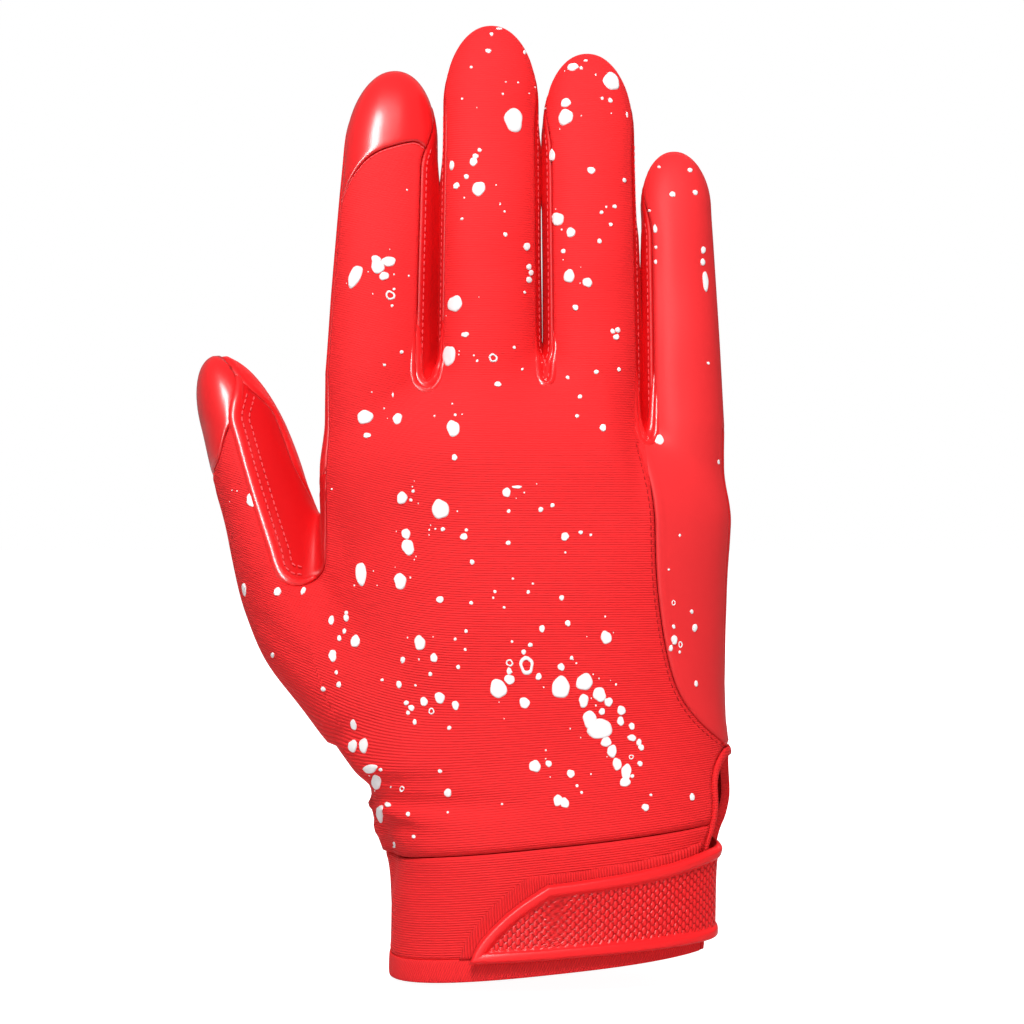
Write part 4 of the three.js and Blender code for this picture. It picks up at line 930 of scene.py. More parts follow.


# each look mixes towards its darkest colour for painted shade in its rib furrows and at its seam edges,
# with a strength for each
knitLook = {"red": (0.96, 0.030, 0.034), "otherRed": (0.90, 0.025, 0.029),
            "shadeColour": (0.42, 0.005, 0.007), "patchScale": 14, "grainScale": 1100, "grainHeight": 0.5,
            "ribPitch": cuff["ribPitch"], "ribWander": 0.03, "ribTop": 0.3, "ribHeight": 2.2,
            "ribFade": (0.095, 0.150), "bump": 1.0, "bumpHeight": 0.00006, "furrowShade": 0.34,
            "seamShade": 0.2, "roughness": 0.7, "roughSpread": 0.08, "sheen": 0.03,
            "specular": 0.06, "coat": 0.0, "coatRoughness": 0.3}
smoothLook = {**knitLook, "red": (0.84, 0.032, 0.036), "otherRed": (0.80, 0.028, 0.032), "ribHeight": 0.0,
              "grainScale": 2600, "grainHeight": 1.0, "bumpHeight": 0.00002, "furrowShade": 0.0,
              "roughness": 0.52, "specular": 0.12}
stripLook = {**smoothLook, "red": (0.74, 0.006, 0.008), "otherRed": (0.66, 0.004, 0.006),
             "shadeColour": (0.25, 0.002, 0.003), "roughness": 0.42, "specular": 0.15}
gussetLook = {**stripLook, "red": (0.70, 0.008, 0.011), "otherRed": (0.63, 0.006, 0.008), "roughness": 0.36}
coatedLook = {**stripLook, "red": (0.88, 0.014, 0.017), "otherRed": (0.84, 0.011, 0.014),
              "roughness": 0.34, "roughSpread": 0.05, "bumpHeight": 0.000012, "specular": 0.2,
              "coat": 0.8, "coatRoughness": 0.22}
palmLook = {**coatedLook, "roughness": 0.42, "coat": 0.15, "coatRoughness": 0.3, "patchScale": 30,
            "roughSpread": 0.08, "bumpHeight": 0.00002}
patchLook = {**knitLook, "ribPitch": 0.72, "ribHeight": 2.4, "bumpHeight": 0.00008, "furrowShade": 0.45,
             "seamShade": 0.1}
hemLook = {**knitLook, "ribPitch": 0.62, "ribHeight": 1.2, "ribWander": 0.3, "bumpHeight": 0.00007,
           "furrowShade": 0.3}
rubberLook = {**coatedLook, "red": (0.97, 0.020, 0.024), "otherRed": (0.94, 0.016, 0.020),
              "roughness": 0.38, "seamShade": 0.6, "coat": 0.15, "specular": 0.12}
# thread: a lighter, pinker red than the cloth; part of that lightness is a painted highlight of the raised
# stitches
threadLook = {**knitLook, "red": (0.98, 0.11, 0.12), "otherRed": (0.95, 0.09, 0.10), "ribHeight": 0,
              "roughness": 0.42, "seamShade": 0.0}
darkThreadLook = {**threadLook, "red": (0.50, 0.012, 0.014), "otherRed": (0.42, 0.009, 0.011)}
# the drops' greyed pink is painted shade on their raised rims, laid on through the "border" field
inkLook = {**smoothLook, "red": (0.97, 0.96, 0.96), "otherRed": (0.92, 0.90, 0.90),
           "shadeColour": (0.62, 0.42, 0.42), "grainScale": 900, "roughness": 0.5, "seamShade": 0.55,
           "sheen": 0.0}

knit = clothMaterial("knit", knitLook)
smoothCloth = clothMaterial("smooth_cloth", smoothLook)
stripCloth = clothMaterial("strip_cloth", stripLook)
coated = clothMaterial("coated_cloth", coatedLook)
gussetCloth = clothMaterial("gusset_cloth", gussetLook)
palmCloth = clothMaterial("palm_cloth", palmLook)
patchCloth = clothMaterial("loop_cloth", patchLook)
hemKnit = clothMaterial("hem_knit", hemLook)
rubber = clothMaterial("tab_rubber", rubberLook)
thread = clothMaterial("thread", threadLook)
darkThread = clothMaterial("dark_thread", darkThreadLook)
inkPaint = clothMaterial("splatter_ink", inkLook)


# a cloth made, given its fields and put in place of its solid
def makeCloth(name, node, grids, inner, material, groove=1.0, slack=1.0, outer=None):
    vertices, faces, far, points = clothFrom(name, grids, inner, outer or clothOuter(groove, slack))
    piece = makeMesh(name, vertices, faces, material, {"rib": ribAt(points), "border": far})
    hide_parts(node)
    print("made", name, len(faces))


makeCloth("back_cloth", "back_panel", backPanelGrids(), -seam["knitWall"], knit)
makeCloth("side_cloth", "side_panel", sidePanelGrids(), -seam["sideWall"], smoothCloth)
makeCloth("palm_cloth", "palm_panel", palmPanelGrids(), -seam["coatedWall"], palmCloth)
makeCloth("index_cap", "index_tip", tipGrids(index, stripColumns), -seam["coatedWall"], coated, 0.28, 0)
makeCloth("thumb_cap", "thumb_tip", tipGrids(thumb, thumbColumns), -seam["coatedWall"], coated, 0.28, 0)
neighbours = ((index, middle), (middle, ring), (ring, little))
stripBulge = {"index_middle": {"low": webLevel - 2, "top": 198, "fill": 1.0, "thin": 0},
              "middle_ring": {"low": webLevel - 2, "top": 216, "fill": 1.0, "thin": 0.5},
              "ring_little": {"low": littleWebLevel - 4, "top": 187, "fill": 1.5, "thin": 0}}
for (near, far), (label, bulge) in zip(neighbours, stripBulge.items()):
    makeCloth("strip_" + label, "side_strip_" + label, sideStripGrids(near, far), -seam["sideWall"],
              stripCloth, outer=stripOuter(**bulge))
makeCloth("gusset_cloth", "thumb_gusset", gussetGrids(), -seam["coatedWall"], gussetCloth, 0.9, 0.6)


# point of the cuff at an angle round the wrist and a height above its slanting lower edge
def cuffPoint(angle, height):
    angle, height = np.broadcast_arrays(np.asarray(angle, float), np.asarray(height, float))
    low = handFace(angle, cuffSeamLevel / 2)[..., 0]
    high = handFace(angle, cuffSeamLevel)[..., 0]
    x = mix(low, high, clamp01(height / cuff["height"]))
    return handFace(angle, cuffBottomAt(x) + height)


cuffTurn = np.linspace(slit["back"], slit["palm"] - 360, 320)
heights = mix(cuff["hemHeight"] + seam["gap"] / 2, cuff["height"], np.linspace(0, 1, 30))


# the cuff's outer face: drawn in at its upper end on the thumb's side, where it stays upright
def cuffOuter(p, far):
    up = (p[:, 2] - cuffBottomAt(p[:, 0])) / cuff["height"]
    towardsThumb = ease((-p[:, 0] - 26) / 14)
    return clothOuter(0.8, 0.35)(p, far) - cuff["drawnIn"] * ease((up - 0.55) / 0.4) * towardsThumb


makeCloth("cuff_cloth", "cuff_band", [cuffPoint(cuffTurn[None, :], heights[:, None])], -cuff["wall"],
          knit, outer=cuffOuter)


# distance run along a line of points up to each of them
def runOf(curve):
    return np.concatenate([[0], np.cumsum(np.linalg.norm(np.diff(curve, axis=0), axis=1))])


# tube: rings of an outline round a path, joined to a closed skin with flat ends
def tubeFaces(count, sides):
    r, s = np.meshgrid(np.arange(count - 1), np.arange(sides), indexing="ij")
    a = r * sides + s
    b = r * sides + (s + 1) % sides
    faces = np.concatenate([np.stack([a, b, b + sides], -1).reshape(-1, 3),
                            np.stack([a, b + sides, a + sides], -1).reshape(-1, 3)])
    fan = np.arange(1, sides - 1)
    last = (count - 1) * sides
    return np.concatenate([faces, np.stack([0 * fan, fan + 1, fan], -1),
                           np.stack([last + 0 * fan, last + fan, last + fan + 1], -1)])


# a closed skin turned so that its volume is above zero
def facingOut(vertices, faces):
    a, b, c = (vertices[faces[:, i]] for i in range(3))
    return faces if np.sum(a * np.cross(b, c)) > 0 else faces[:, ::-1]


# hem: a rounded outline of offset and height carried round the cuff's lower edge
turn = np.linspace(0, 2 * math.pi, 25)[:-1]
outlineOut = np.where(np.cos(turn) > 0, cuff["hemBulge"], cuff["wall"]) * signedPower(np.cos(turn), 0.7)
outlineUp = 0.5 + 0.5 * signedPower(np.sin(turn), 0.62)
hemTurn = np.linspace(slit["back"] - 0.4, slit["palm"] - 360 + 0.4, 420)
foot = cuffPoint(hemTurn[:, None], outlineUp[None, :] * (cuff["hemHeight"] + cuff["hemOverlap"]))
out = outwardAt(cuffPoint(hemTurn, cuff["hemHeight"]))
out = unit(out * [1, 1, 0])
wobble = 1 + 0.10 * np.sin(hemTurn / 3.1)[:, None] * np.sin(hemTurn / 7.7 + 1)[:, None]
ringPoints = foot + out[:, None] * (outlineOut[None, :] * np.where(outlineOut > 0, wobble, 1))[..., None]
ringPoints = ringPoints.reshape(-1, 3)
faces = facingOut(ringPoints - ringPoints.mean(0), tubeFaces(len(hemTurn), len(turn)))
runAlong = np.repeat(runOf(foot[:, 6]), len(turn))
piece = makeMesh("hem_roll", ringPoints, faces, hemKnit,
                 {"rib": runAlong + 0.5 * np.tile(outlineUp, len(hemTurn)) * cuff["hemHeight"],
                  "border": np.full(len(ringPoints), 9.0)})
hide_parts("cuff_hem")
print("made hem_roll")


# binding: a rounded band up one side of the slit, round its end and down the other side
def bindingGrid():
    straight = slit["top"] - slit["arch"]
    degreesAcross = slit["bindingWidth"] / (cuff["width"] / 2) / degree
    across = np.linspace(0, 1, 13)
    rows = []
    for meet, end, sign in ((slit["meetBack"], slit["back"], 1), (slit["meetPalm"], slit["palm"], -1)):
        up = np.linspace(0, 1, 26)[:-1]
        here = end + sign * degreesAcross * across
        low = cuffPoint(here, 0)[:, 2]
        side = [handFace(here, mix(low, straight, share)) for share in up]
        for a in np.linspace(0, 90, 19)[:-1] * degree:
            here = mix(meet, end, math.cos(a)) + sign * math.cos(a) * degreesAcross * across
            side.append(handFace(here, straight + slit["arch"] * math.sin(a)
                                 - math.sin(a) * slit["bindingWidth"] * across))
        rows.append(side)
    top = handFace(np.full(13, mix(slit["meetBack"], slit["meetPalm"], 0.5)),
                   slit["top"] - slit["bindingWidth"] * across)
    return np.array(rows[0] + [top] + rows[1][::-1])


# the binding rises from its rim to its bulge as a quarter of a circle
def bindingOuter(p, far):
    left = 1 - np.minimum(far, slit["bindingRound"]) / slit["bindingRound"]
    return mix(0.1, slit["bindingBulge"], np.sqrt(np.clip(1 - left ** 2, 0, 1)))


band = bindingGrid()
vertices, faces, far, points = clothFrom("slit_edge", [band], -cuff["wall"], bindingOuter)
piece = makeMesh("slit_edge", vertices, faces, hemKnit,
                 {"rib": points[:, 2], "border": far})
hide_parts("slit_binding")

tab = {"thickness": 1.1, "rimHeight": 0.8, "rimWidth": 2.6, "lift": 1.3, "endAngle": 112,
       "patchThickness": 0.38, "patchMargin": 2.2, "cellWidth": 0.95, "cellHeight": 1.9,
       "cellDepth": 0.36, "cellSlope": 0.26, "edgeDrop": 0.45, "edgeRound": 0.35, "underAngle": 58,
       "underClearance": 0.25, "rimFadeAngle": 60}
tabEndAngleAt = curveThrough([0, 0.25, 0.5, 0.75, 1], [-24.5, -21.8, -16.8, -10, -1.5])
tabBottomAt = curveThrough([-25, 15, 35, 65, 112], [0.150, 0.115, 0.100, 0.092, 0.180])
tabTopAt = curveThrough([-25, 15, 35, 65, 112], [0.700, 0.735, 0.765, 0.830, 0.780])

margin = tab["patchMargin"] / cuff["height"]
marginAngle = tab["patchMargin"] * 1.6 / (cuff["width"] / 2) / degree
v = np.linspace(0, 1, 26)[:, None]
angle = mix(tabEndAngleAt(v) - marginAngle, slit["back"] - 4, np.linspace(0, 1, 90)[None, :])
low = (cuff["hemHeight"] + seam["gap"]) / cuff["height"]
patch = cuffPoint(angle, mix(low, tabTopAt(angle) + margin, v) * cuff["height"])


# the patch stands on the cuff, thinner over the first half millimetre from its rim
def patchOuter(p, far):
    return seam["gap"] + tab["patchThickness"] * np.clip(0.35 + far / 0.9, 0, 1)


vertices, faces, far, points = clothFrom("loop_band", [patch], seam["gap"], patchOuter)
around = np.arctan2(points[:, 0], -points[:, 1]) * cuff["width"] / 2 * 0.85
piece = makeMesh("loop_band", vertices, faces, patchCloth,
                 {"rib": around + 0.1 * points[:, 2], "border": far})
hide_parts("loop_patch")


# tab: grid across and along the strap; height = lift and thickness, a rounded rim near the
# outline, and between the rims a net of six-sided cells set in staggered columns
v = np.linspace(0, 1, 112)[:, None]
u = np.concatenate([np.linspace(0, 0.92, 389), np.linspace(0.92, 1, 12)[1:]])[None, :]
angle = mix(tabEndAngleAt(v), tab["endAngle"], u)
grid = cuffPoint(angle, mix(tabBottomAt(angle), tabTopAt(angle), v) * cuff["height"])
normals = outwardAt(grid)
flat = grid.reshape(-1, 3)
border = np.concatenate([grid[0], grid[-1], grid[:, 0]])
far = nearestOf(flat, border)[0].reshape(angle.shape)
under = -cuff["wall"] - seam["gap"] - tab["underClearance"] - tab["thickness"]
lift = mix(tab["lift"], under, ease((angle - tab["underAngle"]) / 30))
turns = np.linspace(-30, tab["endAngle"], 200)
alongTab = np.interp(angle, turns, runOf(cuffPoint(turns, 0.45 * cuff["height"])))
acrossTab = v * (tabTopAt(angle) - tabBottomAt(angle)) * cuff["height"]
cellX = alongTab / tab["cellWidth"]
cellY = acrossTab / tab["cellHeight"]


# distance in from the outline of the nearest upright six-sided cell of every second column
def cellEdge(cx, cy):
    gapX, gapY = np.abs(cx - 2 * np.round(cx / 2)), np.abs(cy - np.round(cy))
    return np.minimum((2 / 3 - gapY * 2 / 3 - gapX) * 0.87, (0.5 - gapY) * tab["cellHeight"])


inCell = np.maximum(cellEdge(cellX, cellY), cellEdge(cellX + 1, cellY + 0.5))
cells = tab["cellDepth"] * (ease(inCell / tab["cellSlope"]) - 1)
inField = ease((far - tab["rimWidth"]) / 0.5)
rimShare = np.clip(far / tab["rimWidth"], 0, 1)
rimBow = np.sqrt(np.clip(1 - np.abs(2 * rimShare - 1) ** 3, 0, 1))
fade = 1 - ease((angle - tab["rimFadeAngle"]) / 28)
rimHigh = tab["rimHeight"] * rimBow * (1 - inField) * fade
edgeDown = -tab["edgeDrop"] * np.exp(-(far / tab["edgeRound"]) ** 2)
outerFace = grid + normals * (lift + tab["thickness"] + rimHigh + cells * inField + edgeDown)[..., None]
innerFace = grid + normals * lift[..., None]
skin = facingAlong(gridFaces(np.arange(angle.size).reshape(angle.shape)), flat, normals.reshape(-1, 3))
vertices = np.concatenate([outerFace.reshape(-1, 3), innerFace.reshape(-1, 3)])
# the "border" field paints shade into the furrows between the cells and leaves the rim unshaded
shadeField = 0.2 + 5 * inCell + 9 * (1 - inField)
piece = makeMesh("strap_tab", vertices, closedFaces(skin, rimOf(skin, angle.size), angle.size), rubber,
                 {"rib": np.zeros(2 * angle.size), "border": np.tile(shadeField.ravel(), 2)})
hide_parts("closure_tab")
print("cuff, hem, binding, patch and tab made")


# curve beside another on the outer face: moved sideways by a distance, then settled
def besides(curve, distance):
    along = unit(np.gradient(curve, axis=0))
    side = unit(np.cross(outwardAt(curve), along))
    return settle(curve + side * np.reshape(distance, (-1, 1)))


# points an equal distance apart along a line
def evenly(curve, spacing):
    run = runOf(curve)
    at = np.arange(spacing / 2, run[-1], spacing)
    return np.stack([np.interp(at, run, curve[:, i]) for i in range(3)], axis=-1)


stitch = {"pitch": 1.65, "length": 1.15, "width": 0.36, "height": 0.22, "sides": 6,
          "besideWeb": 1.35, "besideSide": 1.25, "besideCrotch": (2.6, 4.6), "aboveCuff": 1.5,
          "insideCap": 0.55, "capPitch": 1.2, "darkPitch": 1.7}


# one shape's faces repeated for a number of copies of size points each
def copiesOf(faces, count, size):
    return (faces[None] + (np.arange(count) * size)[:, None, None]).reshape(-1, 3)


# one stitch is four rings of six points, small at the ends; all are placed at once
def stitchesOn(curve, lift, pitch=None, width=1.0):
    centres = evenly(curve, pitch or stitch["pitch"])
    along = unit(np.gradient(centres, axis=0))
    up = outwardAt(centres)
    side = np.cross(up, along)
    s = np.array([-0.5, -0.32, 0.32, 0.5])[:, None]
    thick = np.array([0.35, 1, 1, 0.35])[:, None]
    turn = np.linspace(0, 2 * math.pi, stitch["sides"] + 1)[:-1][None, :]
    local = stack(s * stitch["length"] + 0 * turn, np.cos(turn) * thick * stitch["width"] * width / 2,
                  np.sin(turn) * thick * stitch["height"] / 2 * width).reshape(-1, 3)
    axes = np.stack([along, side, up], axis=1)
    points = centres[:, None] + up[:, None] * lift + np.einsum("ti,sij->stj", local, axes)
    one = facingOut(local, tubeFaces(len(s), stitch["sides"]))
    return points.reshape(-1, 3), copiesOf(one, len(centres), len(local))


# meshes joined into one: each one's faces count on from the points before it
def joined(parts):
    vertices, faces, count = [], [], 0
    for v, f in parts:
        vertices.append(v)
        faces.append(f + count)
        count += len(v)
    return np.concatenate(vertices), np.concatenate(faces)


# a limb's seam from its lower end up to a share of its length
def seamCurve(limb, name, high):
    s = np.linspace(0, high, 90)
    return stripPoint(limb, seamAngle(limb, name, s), s)


# line down one finger's seam, round the web and up the next finger's
def aroundWeb(near, far, high):
    web = webArc(corner(near, "backUlnar"), corner(far, "backRadial"), webDrop, -1)
    return np.concatenate([seamCurve(near, "backUlnar", high)[::-1], web[1:-1],
                           seamCurve(far, "backRadial", high)])


lines = [(besides(aroundWeb(near, far, 0.8), stitch["besideWeb"]), 0.10) for near, far in neighbours]
sideZ = np.linspace(slit["top"] + 1.5, littleWebLevel - webDrop - 0.5, 140)
sideLine = handFace(backEdgeAngle(sideZ), sideZ)
darkLines = [(besides(sideLine, stitch["besideSide"]), 0.12)]
crotchLine = np.concatenate([seamCurve(thumb, "backUlnar", 0.9)[::-1], backCrotch[1:14]])
for distance, raised in zip(stitch["besideCrotch"], (0.16, 0.12)):
    lines.append((besides(crotchLine, distance), raised))
stitchParts = [stitchesOn(curve, lift) for curve, lift in lines]
tipLine = strip(index, stripColumns, "backRadial", "backUlnar", rows=[tipSeamRow])[0]
stitchParts.append(stitchesOn(besides(tipLine, -stitch["insideCap"]), -0.12, stitch["capPitch"], 0.8))
cuffAngles = np.linspace(slit["back"] - 6, -95, 260)
cuffLineX = handFace(cuffAngles, cuffSeamLevel)[:, 0]
cuffLine = handFace(cuffAngles, cuffSeamAt(cuffLineX) + stitch["aboveCuff"])
darkLines.append((cuffLine, 0.0))
for name, parts, material in (
        ("seam_stitches", stitchParts, thread),
        ("edge_stitches",
         [stitchesOn(curve, lift, stitch["darkPitch"], 0.85) for curve, lift in darkLines], darkThread)):
    vertices, faces = joined(parts)
    makeMesh(name, vertices, faces, material,
             {"rib": vertices[:, 2], "border": np.full(len(vertices), 9.0)})


# piping: a round bead on the outer face beside a seam, thinner towards its ends
def beadOn(curve, radius, lift, sides=12):
    along = unit(np.gradient(curve, axis=0))
    up = outwardAt(curve)
    side = np.cross(up, along)
    turn = np.linspace(0, 2 * math.pi, sides + 1)[:-1][None, :, None]
    around = side[:, None] * np.cos(turn) + up[:, None] * np.sin(turn)
    points = (curve[:, None] + up[:, None] * np.reshape(lift, (-1, 1, 1))
              + around * np.reshape(radius, (-1, 1, 1))).reshape(-1, 3)
    return points, facingOut(points - points.mean(0), tubeFaces(len(curve), sides))


# each inner point moves to a quarter, a half and a quarter of itself and its neighbours
def smoothed(curve, times=6):
    for _ in range(times):
        curve = np.concatenate([curve[:1], (curve[:-2] + 2 * curve[1:-1] + curve[2:]) / 4, curve[-1:]])
    return curve


piping = {"radius": 1.9, "sunk": 0.68, "beside": 0.6, "webRadius": 1.1, "webReach": 0.30,
          "webOutside": 1.0, "webInside": 0.5, "innerShare": 1.25, "middleShare": 0.7}
beads = []
whole = smoothed(np.concatenate([seamCurve(thumb, "backUlnar", 0.99)[::-1], backCrotch[1:17]]))
run = np.linspace(0, 1, len(whole))
radius = piping["radius"] * np.minimum(1, 0.5 + 4 * run) * (1 - 0.7 * ease((run - 0.86) / 0.14))
beads.append(beadOn(besides(whole, piping["beside"]), radius, radius * -piping["sunk"]))
for near, far in neighbours:
    whole = smoothed(aroundWeb(near, far, piping["webReach"]), 4)
    run = np.abs(np.linspace(-1, 1, len(whole)))
    radius = piping["webRadius"] * (1 - 0.75 * ease((run - 0.15) / 0.85))
    beads.append(beadOn(besides(whole, -piping["webOutside"]), radius,
                        -0.45 * piping["webRadius"] - 0.5 * run))
    inner = piping["middleShare"] if near is middle else piping["innerShare"]
    beads.append(beadOn(besides(whole, piping["webInside"]), radius * inner,
                        -0.35 * piping["webRadius"] - 1.2 * run))
vertices, faces = joined(beads)
makeMesh("seam_piping", vertices, faces, coated,
         {"rib": vertices[:, 2], "border": np.full(len(vertices), 9.0)})
print("stitches and piping made", len(faces))

